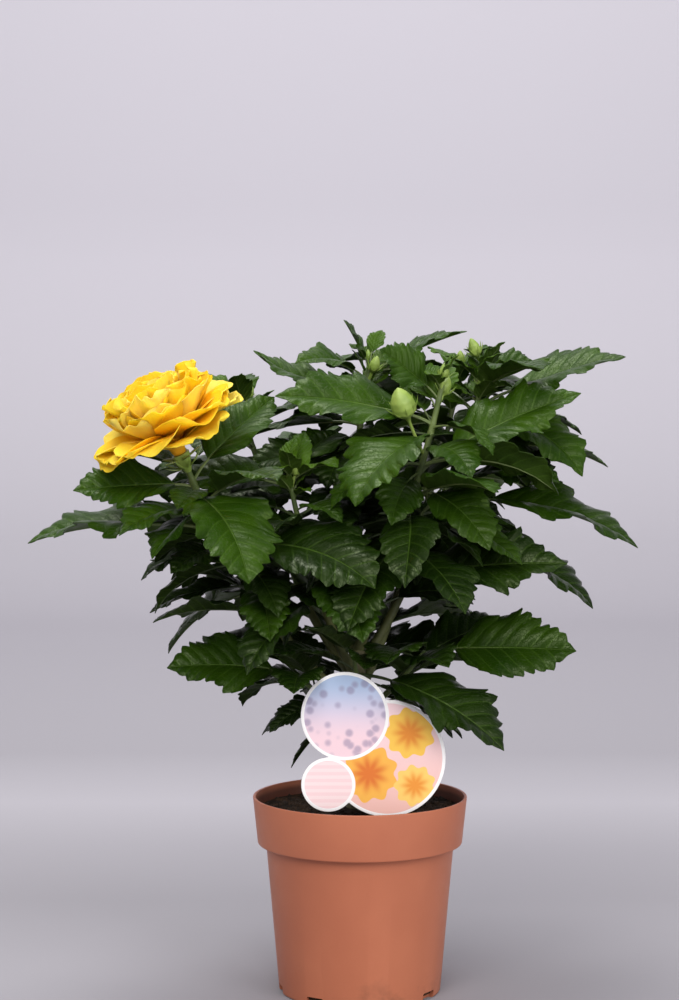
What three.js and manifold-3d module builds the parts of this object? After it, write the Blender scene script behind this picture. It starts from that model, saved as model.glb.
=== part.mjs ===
import * as THREE from "three";
import { mergeVertices } from "three/addons/utils/BufferGeometryUtils.js";
import Module from "manifold-3d";

// A hibiscus shrub in a 13 cm pot: an open flower on the left, buds at the tips of the shoots, a label.
// Millimetres, +Z up. The origin is on the ground under the middle of the pot, and the front faces -Y.
// A bearing is in degrees from +X towards +Y, a rise in degrees above level, and a roll in degrees about
// the line that a leaf or limb follows.

const wasm = await Module();
wasm.setup();
const { Vector2, Vector3 } = THREE;

// Driving dimensions: the clearances between pieces
const GAP = 0.3; // between two pieces that meet
const LEAF_CLEAR = 0.8; // between a leaf and whatever was placed before it
const SHORTEST_EDGE = 0.05;

// Driving dimensions: the pot
const POT = {
  height: 119,
  rimRadius: 65, // outside, at the top
  bandHeight: 28.5, // the broad band under the rim
  bandFoot: 62, // the band's outer radius at its lower edge
  neckRadius: 57, // the wall's outer radius just under the band
  baseRadius: 49,
  wall: 1.8,
  floor: 2.2,
  rounding: 1.4,
  sides: 36,
};
const DRAIN = { count: 8, width: 12, height: 5, depth: 8, firstBearing: 11.6 };
const SOIL_DROP = 7.5; // from the rim down to the soil
const SOIL_LEVEL = POT.height - SOIL_DROP;

// Driving dimensions: the label, three overlapping discs on a stake
const LABEL = {
  thickness: 0.8,
  front: -45, // how far forward of the pot's middle it stands
  lean: 4, // degrees that its top leans forward
  discs: [
    { at: new Vector2(15.7, 149), radius: 34.5 },
    { at: new Vector2(-9.2, 174), radius: 26 },
    { at: new Vector2(-19, 133.5), radius: 16 },
  ],
  stakeAt: 15.7,
  stakeWidth: 9,
  stakeDepth: 32, // how far it goes into the soil
};

// Driving dimensions: the trunk
const TRUNK = {
  forkHeight: 208,
  footAt: new Vector2(1, 1),
  forkAt: new Vector2(-2, 0),
  footRadius: 6.2,
  forkRadius: 4.6,
  flare: 2.8, // how much wider it is at the soil
  flareHeight: 9,
  knots: 7, // old leaf scars up its length
  knotSwell: 0.06,
};

// Driving dimensions: a leaf, in shares of its blade's length where no unit is given
const LEAF = {
  petiole: 0.28,
  petioleRadius: 1.1, // mm
  petioleLift: 18, // degrees steeper than the blade it carries
  thickness: 1.25, // mm, at the midrib
  tipWidth: 0.6, // mm
  widest: 0.34, // where along the blade it is widest
  fullness: 0.62, // how round its base is
  fold: 16, // degrees that each half stands up from the midrib
  sweep: 0.24, // how far its side veins lean towards the tip
  ripple: 0.1, // how far its edge waves up and down
  fineness: 48, // steps along its line
  stalkStations: 2,
  bladeStations: 7,
  tooth: 0.13,
  notch: 0.13,
};
const GOLDEN_ANGLE = 137.5;

// Driving dimensions: the flower
const BLOOM = {
  tilt: 27, // degrees off upright
  tiltBearing: 207,
  outerPetals: 5,
  outerLength: 48,
  outerWidth: 44,
  innerPetals: 6,
  innerLength: 48,
  innerWidth: 36,
  heartRadius: 33,
  heartHeight: 36,
  heartFolds: 7,
  heartRuffle: 0.16,
  heartOutline: [0.2, 0.84], // the stretch of a sine's half turn that the dome's outline follows
  thickness: 1.1,
  cup: 0.16, // how far a petal's sides stand up
  tipRounding: 0.1, // how far its tip's corners stand back, as a share of its length
  throatRadius: 7,
  throatHeight: 12,
  neckRadius: 3.8,
  seed: 4242,
  shoot: "left_shoot",
};

const radians = THREE.MathUtils.degToRad;
const mix = THREE.MathUtils.lerp;

// Materials
const finish = (color, roughness) =>
  new THREE.MeshStandardMaterial({ color, roughness, metalness: 0 });
const plastic = finish(0xbe7358, 0.5);
const peat = finish(0x2b1d14, 0.95);
const bark = finish(0x6f6a45, 0.8);
const greenBark = finish(0x7f8f4a, 0.65);
const foliage = finish(0x2c5a1e, 0.4);
const petal = finish(0xf5b81c, 0.6);
const card = finish(0xf3dcd6, 0.35);

// A repeatable run of numbers from 0 to 1
function dice(seed) {
  let state = seed;
  return () => {
    state = (Math.imul(state, 1664525) + 1013904223) >>> 0;
    return state / 2 ** 32;
  };
}

// Solids and meshes

function solidOf(geometry) {
  const bare = geometry.clone();
  bare.deleteAttribute("normal");
  bare.deleteAttribute("uv");
  const merged = mergeVertices(bare, 1e-4);
  return new wasm.Manifold(
    new wasm.Mesh({
      numProp: 3,
      vertProperties: merged.attributes.position.array,
      triVerts: new Uint32Array(merged.index.array),
    }),
  );
}

function geometryOf(solid) {
  const { vertProperties, triVerts } = solid.getMesh();
  const geometry = new THREE.BufferGeometry();
  geometry.setAttribute("position", new THREE.BufferAttribute(vertProperties, 3));
  geometry.setIndex(new THREE.BufferAttribute(triVerts, 1));
  geometry.computeVertexNormals();
  return geometry;
}

// The largest body of a solid without the scraps that a cut leaves and with any closed hollow filled.
function mainBody(solid) {
  const bodies = solid.decompose();
  return bodies.reduce((a, b) => (a.volume() > b.volume() ? a : b));
}

// Edges too short to see, which joins leave, are drawn together first.
function meshOf(name, solid, material) {
  const mesh = new THREE.Mesh(geometryOf(mainBody(solid.simplify(SHORTEST_EDGE))), material);
  mesh.name = name;
  return mesh;
}

const joined = (solids) => wasm.Manifold.union(solids);

// Routes: a line of a given length whose bearing and rise are known all along it

function heading(bearing, rise) {
  const level = Math.cos(radians(rise));
  return new Vector3(
    level * Math.cos(radians(bearing)),
    level * Math.sin(radians(bearing)),
    Math.sin(radians(rise)),
  );
}

// The place, direction, level side and upper side at each of `steps` + 1 stations along a route.
function route(start, length, steps, bearingAt, riseAt) {
  const stations = [];
  const place = start.clone();
  for (let i = 0; i <= steps; i++) {
    const share = i / steps;
    const along = heading(bearingAt(share), riseAt(share));
    const side = heading(bearingAt(share) + 90, 0);
    const up = along.clone().cross(side);
    stations.push({ place: place.clone(), along, side, up });
    const middle = share + 0.5 / steps;
    place.addScaledVector(heading(bearingAt(middle), riseAt(middle)), length / steps);
  }
  return stations;
}

// The station at any share of the way along a route.
function stationAt(stations, share) {
  const scaled = Math.min(Math.max(share, 0), 1) * (stations.length - 1);
  const low = Math.min(Math.floor(scaled), stations.length - 2);
  const between = (key) => stations[low][key].clone().lerp(stations[low + 1][key], scaled - low);
  return {
    place: between("place"),
    along: between("along").normalize(),
    side: between("side").normalize(),
    up: between("up").normalize(),
  };
}

// A tube's triangles with its ends closed. The quads of its second half are cut along the same corners as
// those of its first half, so that the upper and lower faces of a thin leaf stay apart where it twists.
function closedTube(wall, sides, steps) {
  const index = Array.from(wall);
  for (let quad = Math.ceil(sides / 2) * steps; quad < sides * steps; quad++) {
    const [a, b, d, , c] = wall.slice(6 * quad, 6 * quad + 6);
    index.splice(6 * quad, 6, a, b, c, a, c, d);
  }
  const foot = steps * (sides + 1);
  for (let low = 0, high = sides - 1; high - low > 1; high--) {
    index.push(low, low + 1, high, foot + high, foot + low + 1, foot + low);
    low++;
    if (high - low < 2) break;
    index.push(low, high - 1, high, foot + high, foot + high - 1, foot + low);
  }
  return index;
}

// A closed tube whose rings have `sides` corners. middle(i) gives station i's middle, and corner(i, across, rise)
// the corner's offset from it, where across and rise are the cosine and sine of the corner's turn.
function sleeve(sides, steps, middle, corner) {
  const geometry = new THREE.CylinderGeometry(1, 1, steps, sides, steps, true);
  geometry.setIndex(closedTube(geometry.index.array, sides, steps));
  const position = geometry.attributes.position;
  for (let v = 0; v < position.count; v++) {
    const i = Math.round(position.getY(v) + steps / 2);
    const rise = position.getX(v);
    const across = position.getZ(v);
    const point = middle(i).add(corner(i, across, rise));
    position.setXYZ(v, point.x, point.y, point.z);
  }
  return solidOf(geometry);
}

// A round limb along a route, tapering from one radius to the other.
function limb(stations, sides, radiusAt) {
  const steps = stations.length - 1;
  return sleeve(
    sides,
    steps,
    (i) => stations[i].place.clone(),
    (i, across, rise) => {
      const { side, up } = stations[i];
      const radius = radiusAt(i / steps);
      return side.clone().multiplyScalar(across * radius).addScaledVector(up, rise * radius);
    },
  );
}

// The pot

function turnedOnAxis(profile, sides) {
  const points = profile.map(([radius, height]) => new Vector2(radius, height));
  return solidOf(new THREE.LatheGeometry(points, sides).rotateX(Math.PI / 2));
}

// The inner wall's radius at a height, which the soil follows too.
const bandBottom = POT.height - POT.bandHeight;
const innerProfile = (clearance) => [
  [POT.bandFoot - POT.wall - clearance, bandBottom + POT.wall + clearance],
  [POT.neckRadius - POT.wall - clearance, bandBottom - POT.wall + clearance],
  [POT.baseRadius - POT.wall - clearance, POT.floor + clearance],
];

function pot() {
  const { height, rimRadius, bandFoot, neckRadius, baseRadius, wall, floor, rounding, sides } = POT;
  const shell = turnedOnAxis(
    [
      [0, 0],
      [baseRadius - rounding, 0],
      [baseRadius, rounding],
      [neckRadius, bandBottom - rounding],
      [bandFoot - rounding / 2, bandBottom],
      [bandFoot, bandBottom + rounding],
      [rimRadius, height - rounding],
      [rimRadius - wall / 3, height],
      [rimRadius - wall, height],
      ...innerProfile(0),
      [0, floor],
    ],
    sides,
  );
  const drains = Array.from({ length: DRAIN.count }, (_, k) => {
    const box = new THREE.BoxGeometry(DRAIN.depth, DRAIN.width, 2 * DRAIN.height);
    box.translate(baseRadius, 0, 0);
    box.rotateZ(radians(DRAIN.firstBearing + (360 / DRAIN.count) * k));
    return solidOf(box);
  });
  return shell.subtract(joined(drains));
}

function soil() {
  const { rimRadius, bandFoot, wall } = POT;
  const share = (SOIL_LEVEL - bandBottom) / POT.bandHeight;
  const edge = mix(bandFoot, rimRadius, share) - wall - GAP;
  const fill = turnedOnAxis(
    [
      [0, POT.floor + GAP],
      ...innerProfile(GAP).reverse(),
      [edge, SOIL_LEVEL - 1],
      [edge - 8, SOIL_LEVEL],
      [0, SOIL_LEVEL],
    ],
    POT.sides,
  );
  const slot = new THREE.BoxGeometry(
    LABEL.stakeWidth + 2 * GAP,
    LABEL.thickness + 2 * GAP,
    2 * (LABEL.stakeDepth + GAP),
  );
  slot.rotateX(radians(LABEL.lean));
  slot.translate(LABEL.stakeAt, LABEL.front, SOIL_LEVEL);
  return fill.subtract(solidOf(slot));
}

// The label: overlapping discs and a stake, cut from one thin sheet

function label() {
  const { discs, thickness, stakeAt, stakeWidth, stakeDepth } = LABEL;
  const foot = SOIL_LEVEL - stakeDepth;
  const stake = new THREE.Shape([
    new Vector2(stakeAt - stakeWidth / 2, discs[0].at.y),
    new Vector2(stakeAt - stakeWidth / 2, foot + stakeWidth),
    new Vector2(stakeAt, foot),
    new Vector2(stakeAt + stakeWidth / 2, foot + stakeWidth),
    new Vector2(stakeAt + stakeWidth / 2, discs[0].at.y),
  ]);
  const rounds = discs.map(({ at, radius }) =>
    new THREE.Shape().absarc(at.x, at.y, radius, 0, 2 * Math.PI, false),
  );
  const cut = (shape) => {
    const options = { depth: thickness, bevelEnabled: false, curveSegments: 13 };
    const sheet = new THREE.ExtrudeGeometry(shape, options);
    return solidOf(sheet.translate(0, -SOIL_LEVEL, -thickness / 2));
  };
  return joined([stake, ...rounds].map(cut))
    .rotate([90 + LABEL.lean, 0, 0])
    .translate([0, LABEL.front, SOIL_LEVEL]);
}

// The trunk, from its flat cut on the soil to the fork

const trunkFoot = new Vector3(TRUNK.footAt.x, TRUNK.footAt.y, SOIL_LEVEL + GAP);
const trunkFork = new Vector3(TRUNK.forkAt.x, TRUNK.forkAt.y, TRUNK.forkHeight);
const trunkAt = (height) =>
  trunkFoot.clone().lerp(trunkFork, (height - trunkFoot.z) / (trunkFork.z - trunkFoot.z));

function trunkRadius(height) {
  const up = height - trunkFoot.z;
  const share = up / (trunkFork.z - trunkFoot.z);
  const flare = TRUNK.flare * Math.exp(-3 * (up / TRUNK.flareHeight));
  const knot = 1 + TRUNK.knotSwell * Math.cos(2 * Math.PI * TRUNK.knots * share);
  return mix(TRUNK.footRadius, TRUNK.forkRadius, share) * knot + flare;
}

function trunk(extra) {
  const steps = 2 * TRUNK.knots;
  const length = trunkFork.z - trunkFoot.z;
  return sleeve(
    10,
    steps,
    (i) => trunkAt(trunkFoot.z + (length * i) / steps),
    (i, across, rise) => {
      const radius = trunkRadius(trunkFoot.z + (length * i) / steps) + extra;
      return new Vector3(rise * -radius, across * radius, 0);
    },
  );
}

// The boughs. Each leaves the trunk at a height and a bearing, and steepens towards its tip.
const BOUGHS = {
  front_bough: { from: 206, bearing: -52, rise: 58, steepen: 8, length: 38, radius: 3.3, tip: 2.9 },
  top_left_bough: { from: 204, bearing: 128, rise: 74, steepen: 10, length: 58, radius: 3.1, tip: 2.5 },
  right_bough: { from: 196, bearing: 30, rise: 48, steepen: 16, length: 62, radius: 3, tip: 2.5 },
  back_left_bough: { from: 188, bearing: 140, rise: 40, steepen: 16, length: 66, radius: 3, tip: 2.4 },
  front_left_bough: { from: 190, bearing: 228, rise: 50, steepen: 14, length: 56, radius: 2.9, tip: 2.3 },
  back_right_bough: { from: 180, bearing: 56, rise: 46, steepen: 14, length: 74, radius: 3, tip: 2.4 },
  left_bough: { from: 172, bearing: 197, rise: 36, steepen: 26, length: 98, radius: 3.2, tip: 2.4 },
};
const BOUGH_STEPS = 6;

function boughRoute({ from, bearing, rise, steepen, length }) {
  return route(
    trunkAt(from),
    length,
    BOUGH_STEPS,
    () => bearing,
    (share) => rise + steepen * share,
  );
}

// The shoots and sprays. A shoot's stem goes on from its bough's tip, and a spray's stem leaves the trunk.
// Along it the leaves stand at even steps, each a golden angle on from the last, and its side twigs carry a
// few more. `turned` gives the leaves that turn another way than the rule does, by their number from the
// foot of the stem.
const SHOOT = {
  swing: 0, // how far its bearing turns on the way up
  steepen: 12,
  radius: 2.4,
  tip: 1.3,
  leaves: 11,
  firstLeaf: 0.06,
  blades: [82, 54], // the blades' lengths at its foot and its tip
  twigs: 1,
  buds: 2,
};
const SPRAY = {
  ...SHOOT,
  radius: 1.9,
  tip: 1.2,
  leaves: 5,
  firstLeaf: 0.4,
  blades: [60, 66],
  twigs: 0,
  buds: 0,
};
const SHOOTS = {
  front_shoot: {
    ...SHOOT,
    bough: "front_bough",
    seed: 101,
    bearing: -36,
    swing: 40,
    rise: 66,
    steepen: 12,
    length: 136,
    radius: 2.8,
    tip: 1.5,
    leaves: 12,
    firstBearing: 344,
    buds: 4,
    fatBud: { at: 0.68, bearing: 230, rise: 52 },
    turned: {
      0: { bearing: 344, rise: 10, droop: 12, blade: 86, roll: 38, stalk: 0.33, breadth: 0.6 },
      6: { at: 0.6, bearing: 12, rise: 27, droop: 10, blade: 84, roll: 34, stalk: 0.3, breadth: 0.58 },
      8: { at: 0.78, bearing: 220, rise: -14, droop: 44, blade: 70, roll: 0, breadth: 0.8, aside: 70 },
      9: { at: 0.82, bearing: 186, rise: 14, droop: 14, blade: 80, roll: -40, stalk: 0.2, breadth: 0.58 },
      10: { at: 0.93, bearing: 196, rise: 40, droop: 10, blade: 38, roll: -64, breadth: 0.8 },
    },
  },
  top_left_shoot: {
    ...SHOOT,
    bough: "top_left_bough",
    seed: 202,
    bearing: 60,
    swing: -80,
    rise: 84,
    steepen: -4,
    length: 122,
    radius: 2.5,
    leaves: 12,
    firstBearing: 250,
    buds: 3,
    turned: {
      5: { at: 0.48, bearing: 195, rise: 9, droop: 34, blade: 52, roll: -34 },
      7: { at: 0.68, bearing: 167, rise: -2, droop: 20, blade: 58, roll: -6 },
      8: { at: 0.86, bearing: 193, rise: 2, droop: -44, blade: 58, roll: -16 },
      9: { at: 0.9, bearing: 180, rise: 26, droop: 10, blade: 34, roll: -20 },
      10: { at: 0.92, bearing: 354, rise: 27, droop: 12, blade: 52, roll: 6 },
      11: { at: 0.96, bearing: 204, rise: 60, droop: 6, blade: 27, roll: -30, breadth: 0.8 },
    },
  },
  left_shoot: {
    ...SHOOT,
    bough: "left_bough",
    seed: 303,
    bearing: 212,
    rise: 50,
    steepen: 16,
    length: 88,
    tip: 1.8,
    leaves: 12,
    firstLeaf: 0.04,
    firstBearing: 300,
    blades: [70, 60],
    twigs: 0,
    buds: 0,
    turned: {
      0: { at: 0.03, bearing: 168, rise: -8, droop: 24, blade: 52, roll: -14 },
      1: { at: 0.06, bearing: 286, rise: -16, droop: 36, blade: 50, roll: 12 },
      2: { at: 0.2, bearing: 140, rise: 2, droop: 16, blade: 58, roll: -12 },
      4: { at: 0.36, bearing: 336, rise: 2, droop: 38, blade: 86, roll: 28, breadth: 0.7 },
      5: { at: 0.5, bearing: 179, rise: 3, droop: 24, blade: 90, roll: -10 },
      6: { at: 0.64, bearing: 130, rise: -14, droop: 30, blade: 60, roll: 30 },
      9: { at: 0.84, bearing: 303, rise: -18, droop: 48, blade: 74, roll: 0, breadth: 0.8, aside: -40 },
      10: { at: 0.86, bearing: 200, rise: 0, droop: 6, blade: 60, roll: -40, stalk: 0.2, breadth: 0.7 },
      11: { at: 0.9, bearing: 34, rise: 42, droop: 12, blade: 60, roll: 24 },
    },
  },
  right_shoot: {
    ...SHOOT,
    bough: "right_bough",
    seed: 404,
    bearing: 26,
    swing: -20,
    rise: 62,
    length: 138,
    leaves: 12,
    firstBearing: 0,
    buds: 2,
    turned: {
      0: { bearing: 355, rise: 3, droop: 54, blade: 88, roll: 12, stalk: 0.36 },
      3: { at: 0.38, bearing: 353, rise: -4, droop: 32, blade: 96, roll: 16, stalk: 0.32, breadth: 0.56 },
      5: { at: 0.42, bearing: 329, rise: 20, droop: 46, blade: 62, roll: 20, stalk: 0.34 },
      7: { at: 0.62, bearing: 359, rise: 3, droop: 34, blade: 70, roll: 8, stalk: 0.36 },
      9: { at: 0.82, bearing: 351, rise: 20, droop: 8, blade: 74, roll: 20, stalk: 0.34 },
    },
  },
  back_right_shoot: {
    ...SHOOT,
    bough: "back_right_bough",
    seed: 505,
    bearing: 40,
    swing: -10,
    rise: 64,
    length: 142,
    firstBearing: 70,
    turned: {
      6: { at: 0.56, bearing: 348, rise: 12, droop: 40, blade: 74, roll: 6 },
      9: { at: 0.88, bearing: 350, rise: 42, droop: 50, blade: 46, roll: 30 },
    },
  },
  back_left_shoot: {
    ...SHOOT,
    bough: "back_left_bough",
    seed: 606,
    bearing: 134,
    swing: 8,
    rise: 60,
    length: 126,
    firstBearing: 170,
    turned: {},
  },
  front_left_shoot: {
    ...SHOOT,
    bough: "front_left_bough",
    seed: 1111,
    bearing: 218,
    swing: -30,
    rise: 68,
    length: 84,
    leaves: 10,
    firstBearing: 255,
    blades: [70, 50],
    twigs: 0,
    buds: 1,
    turned: {
      0: { bearing: 232, rise: -10, droop: 44, blade: 62, roll: 0 },
      2: { bearing: 300, rise: -14, droop: 44, blade: 62, roll: 12 },
      8: { bearing: 170, rise: 10, droop: 30, blade: 60, roll: -30 },
    },
  },
  low_left_spray: {
    ...SPRAY,
    from: 162,
    seed: 707,
    bearing: 188,
    rise: 34,
    length: 48,
    leaves: 6,
    firstLeaf: 0.35,
    firstBearing: 180,
    turned: {
      0: { at: 0.3, bearing: 179, rise: -48, droop: 10, blade: 36, roll: 0 },
      1: { at: 0.5, bearing: 196, rise: -17, droop: 30, blade: 32, roll: -20 },
      2: { at: 0.7, bearing: 153, rise: 8, droop: 70, blade: 46, roll: 0 },
      3: { at: 0.84, bearing: 268, rise: 16, droop: 44, blade: 50, roll: 0 },
      4: { at: 0.95, bearing: 200, rise: 10, droop: 16, blade: 66, roll: -40, breadth: 0.72 },
    },
  },
  low_right_spray: {
    ...SPRAY,
    from: 166,
    seed: 808,
    bearing: 353,
    rise: 40,
    length: 58,
    leaves: 6,
    firstBearing: 40,
    turned: {
      1: { at: 0.5, bearing: 300, rise: 34, droop: 56, blade: 54, roll: 10 },
      3: { at: 0.72, bearing: 34, rise: 24, droop: 16, blade: 62, roll: 16 },
      5: { at: 0.95, bearing: 357, rise: 0, droop: 8, blade: 74, roll: 50, breadth: 0.68 },
    },
  },
  low_front_spray: {
    ...SPRAY,
    from: 178,
    seed: 909,
    bearing: 262,
    rise: 52,
    length: 36,
    radius: 2,
    leaves: 5,
    firstBearing: 330,
    turned: {
      1: { bearing: 331, rise: -13, droop: 30, blade: 84, roll: 14, breadth: 0.66 },
      2: { at: 0.62, bearing: 205, rise: 22, droop: 30, blade: 50, roll: -8 },
      3: { at: 0.85, bearing: 238, rise: 30, droop: 20, blade: 46, roll: 0 },
    },
  },
  low_back_spray: {
    ...SPRAY,
    from: 168,
    seed: 1010,
    bearing: 92,
    rise: 34,
    length: 62,
    leaves: 6,
    firstLeaf: 0.3,
    firstBearing: 20,
    blades: [66, 76],
    turned: {},
  },
};
const STEM_STEPS = 8;

// A side twig leaves its stem between `from` and `to` of the way up, to one side and the other by turns.
const TWIG = {
  from: 0.3,
  to: 0.75,
  spread: 75, // degrees from the stem's bearing
  rise: 30,
  steepen: 18,
  length: 42,
  radius: 1.3,
  tip: 0.9,
  steps: 4,
  leaves: 4,
  firstLeaf: 0.35,
  blades: [60, 48],
};

// The ways a leaf may turn aside, in degrees of bearing and of rise and as a share of its length, to stay clear
// of what stands already.
const TURNS = [
  [0, 0, 1],
  [8, 0, 1],
  [-8, 0, 1],
  [0, -8, 1],
  [0, 8, 1],
  [16, -4, 1],
  [-16, 4, 1],
  [16, 10, 0.94],
  [-16, -10, 0.94],
  [28, 0, 0.94],
  [-28, 0, 0.94],
  [0, -18, 0.88],
  [0, 18, 0.88],
  [40, -8, 0.82],
  [-40, 8, 0.82],
  [20, 20, 0.8],
  [-20, -20, 0.8],
];

// What the rule says of each leaf of an axis: where it stands and how it is turned, long and bent.
function leafPlan(shoot, count, first, roll) {
  return Array.from({ length: count }, (_, k) => {
    const share = count > 1 ? k / (count - 1) : 1;
    const plan = {
      at: mix(first, 0.97, share),
      bearing: shoot.firstBearing + GOLDEN_ANGLE * k + mix(-10, 10, roll()),
      rise: mix(-10, 28, share) + mix(-8, 8, roll()),
      droop: mix(26, 54, roll()),
      blade: mix(shoot.blades[0], shoot.blades[1], share ** 1.6) * mix(0.92, 1.06, roll()),
      roll: mix(-16, 16, roll()),
      breadth: mix(0.6, 0.72, roll()),
      sway: mix(-14, 14, roll()),
      wave: 2 * Math.PI * roll(),
      stalk: LEAF.petiole,
      aside: 0,
    };
    return { ...plan, ...shoot.turned[k] };
  });
}

// The half width of a blade at a share of its length, as a share of its greatest half width.
function bladeShape(share) {
  const rise = LEAF.fullness;
  const fall = (rise * (1 - LEAF.widest)) / LEAF.widest;
  return (share / LEAF.widest) ** rise * ((1 - share) / (1 - LEAF.widest)) ** fall;
}

// A leaf: a thin stalk that opens into a toothed blade, four corners at each station. Its foot is sunk into
// the middle of the limb that carries it. `blade` is the leaf without its stalk.
function leaf(plan, root) {
  const stalkLength = plan.blade * plan.stalk;
  const opening = stalkLength / (stalkLength + plan.blade);
  const alongBlade = (share) => Math.max(0, (share - opening) / (1 - opening));
  const line = route(
    root,
    stalkLength + plan.blade,
    LEAF.fineness,
    (share) => plan.bearing + plan.sway * alongBlade(share) + plan.aside * Math.max(0, 1 - share / opening),
    (share) => {
      const lift = LEAF.petioleLift * Math.max(0, 1 - share / opening);
      return plan.rise + lift - plan.droop * alongBlade(share) ** 1.3;
    },
  );
  const { stalkStations, bladeStations } = LEAF;
  const shareAt = (i) =>
    i <= stalkStations
      ? (opening * i) / stalkStations
      : opening + ((1 - opening) * (i - stalkStations)) / bladeStations;
  const corner = (i, across, over) => {
    const { along, side, up } = stationAt(line, shareAt(i));
    const share = (i - stalkStations) / bladeStations;
    const roll = share < 0 ? 0 : radians(plan.roll) * Math.min(1, 0.5 + 2 * share);
    const level = side.clone().multiplyScalar(Math.cos(roll)).addScaledVector(up, Math.sin(roll));
    const upper = up.clone().multiplyScalar(Math.cos(roll)).addScaledVector(side, -Math.sin(roll));
    if (Math.abs(over) > 0.5) {
      return upper.multiplyScalar(over * (share > 0 ? LEAF.thickness / 2 : LEAF.petioleRadius));
    }
    if (share <= 0) return level.multiplyScalar(across * LEAF.petioleRadius);
    if (share >= 1) return level.multiplyScalar((across * LEAF.tipWidth) / 2);
    const edge = (i - stalkStations) % 2 ? 1 + LEAF.tooth : 1 - LEAF.notch;
    const half = (plan.blade * plan.breadth * bladeShape(share) * edge) / 2;
    const ripple = LEAF.ripple * half * Math.sin(plan.wave + across + 9 * share);
    return level
      .multiplyScalar(across * half * Math.cos(radians(LEAF.fold)))
      .addScaledVector(upper, half * Math.sin(radians(LEAF.fold)) + ripple)
      .addScaledVector(along, half * LEAF.sweep);
  };
  const from = (first) =>
    sleeve(
      4,
      stalkStations + bladeStations - first,
      (i) => stationAt(line, shareAt(i + first)).place,
      (i, across, over) => corner(i + first, across, over),
    );
  return { whole: from(0), blade: from(stalkStations) };
}

// A bud on its stalk, with a collar of narrow bracts. `blade` is the bud without its stalk.
const BUD = { stalk: 11, length: 13, radius: 3.8, bracts: 3, bractLength: 9, sides: 5 };
const FAT_BUD = { stalk: 28, length: 20, radius: 7.5, bracts: 5, bractLength: 12, sides: 7 };

function bud(shape, root, bearing, rise, size) {
  const stalkLength = shape.stalk * size;
  const budLength = shape.length * size;
  const whole = stalkLength + budLength;
  const neck = stalkLength / whole;
  const shares = [0, neck, mix(neck, 1, 0.35), mix(neck, 1, 0.7), 1];
  const line = route(
    root,
    whole,
    LEAF.fineness,
    () => bearing,
    (share) => rise + 12 * share,
  );
  const stations = shares.map((share) => stationAt(line, share));
  const widest = shape.radius * size;
  const radii = [0.9, 1, widest, 0.78 * widest, 0.4];
  const body = limb(stations, shape.sides, (share) => radii[Math.round(share * 4)]);
  const head = limb(stations.slice(1), shape.sides, (share) => radii[1 + Math.round(share * 3)]);
  const collar = stationAt(line, mix(neck, 1, 0.08));
  const bracts = Array.from({ length: shape.bracts }, (_, k) =>
    spike(collar, (360 / shape.bracts) * k, 62, 0, shape.bractLength * size, 0.8),
  );
  return { whole: joined([body, ...bracts]), blade: joined([head, ...bracts]) };
}

// The flower and the green cup that carries it

function bloomFrame(tip) {
  const along = heading(BLOOM.tiltBearing, 90 - BLOOM.tilt);
  const side = heading(BLOOM.tiltBearing + 90, 0);
  return { place: tip, along, side, up: along.clone().cross(side) };
}

const CALYX = { radius: 5.4, length: 12, sepals: 5, sepalLength: 11, bracts: 7, bractLength: 11 };

// A narrow point that leaves a station's line at a bearing round it and a rise along it, `out` from its middle.
function spike({ place, along, side, up }, bearing, rise, out, length, thick) {
  const across = side.clone().multiplyScalar(Math.cos(radians(bearing)));
  across.addScaledVector(up, Math.sin(radians(bearing)));
  const aim = across.clone().multiplyScalar(Math.cos(radians(rise)));
  aim.addScaledVector(along, Math.sin(radians(rise)));
  const cone = new THREE.ConeGeometry(thick, length, 4);
  cone.translate(0, length / 2, 0);
  cone.applyQuaternion(new THREE.Quaternion().setFromUnitVectors(new Vector3(0, 1, 0), aim));
  const foot = place.clone().addScaledVector(across, out);
  return solidOf(cone.translate(foot.x, foot.y, foot.z));
}

const raised = (frame, height) => ({
  ...frame,
  place: frame.place.clone().addScaledVector(frame.along, height),
});

function calyx(frame) {
  const radii = [1.8, 3.4, 4.8, CALYX.radius];
  const stations = radii.map((_, i) => raised(frame, (CALYX.length * i) / 3 - 2));
  const cup = limb(stations, 8, (share) => radii[Math.round(share * 3)]);
  const sepals = Array.from({ length: CALYX.sepals }, (_, k) =>
    spike(raised(frame, 7), (360 / CALYX.sepals) * k, 16, 3.2, CALYX.sepalLength, 1.9),
  );
  const bracts = Array.from({ length: CALYX.bracts }, (_, k) =>
    spike(raised(frame, 1), (360 / CALYX.bracts) * k, 24, 1.2, CALYX.bractLength, 0.9),
  );
  return joined([cup, ...sepals, ...bracts]);
}

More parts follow.
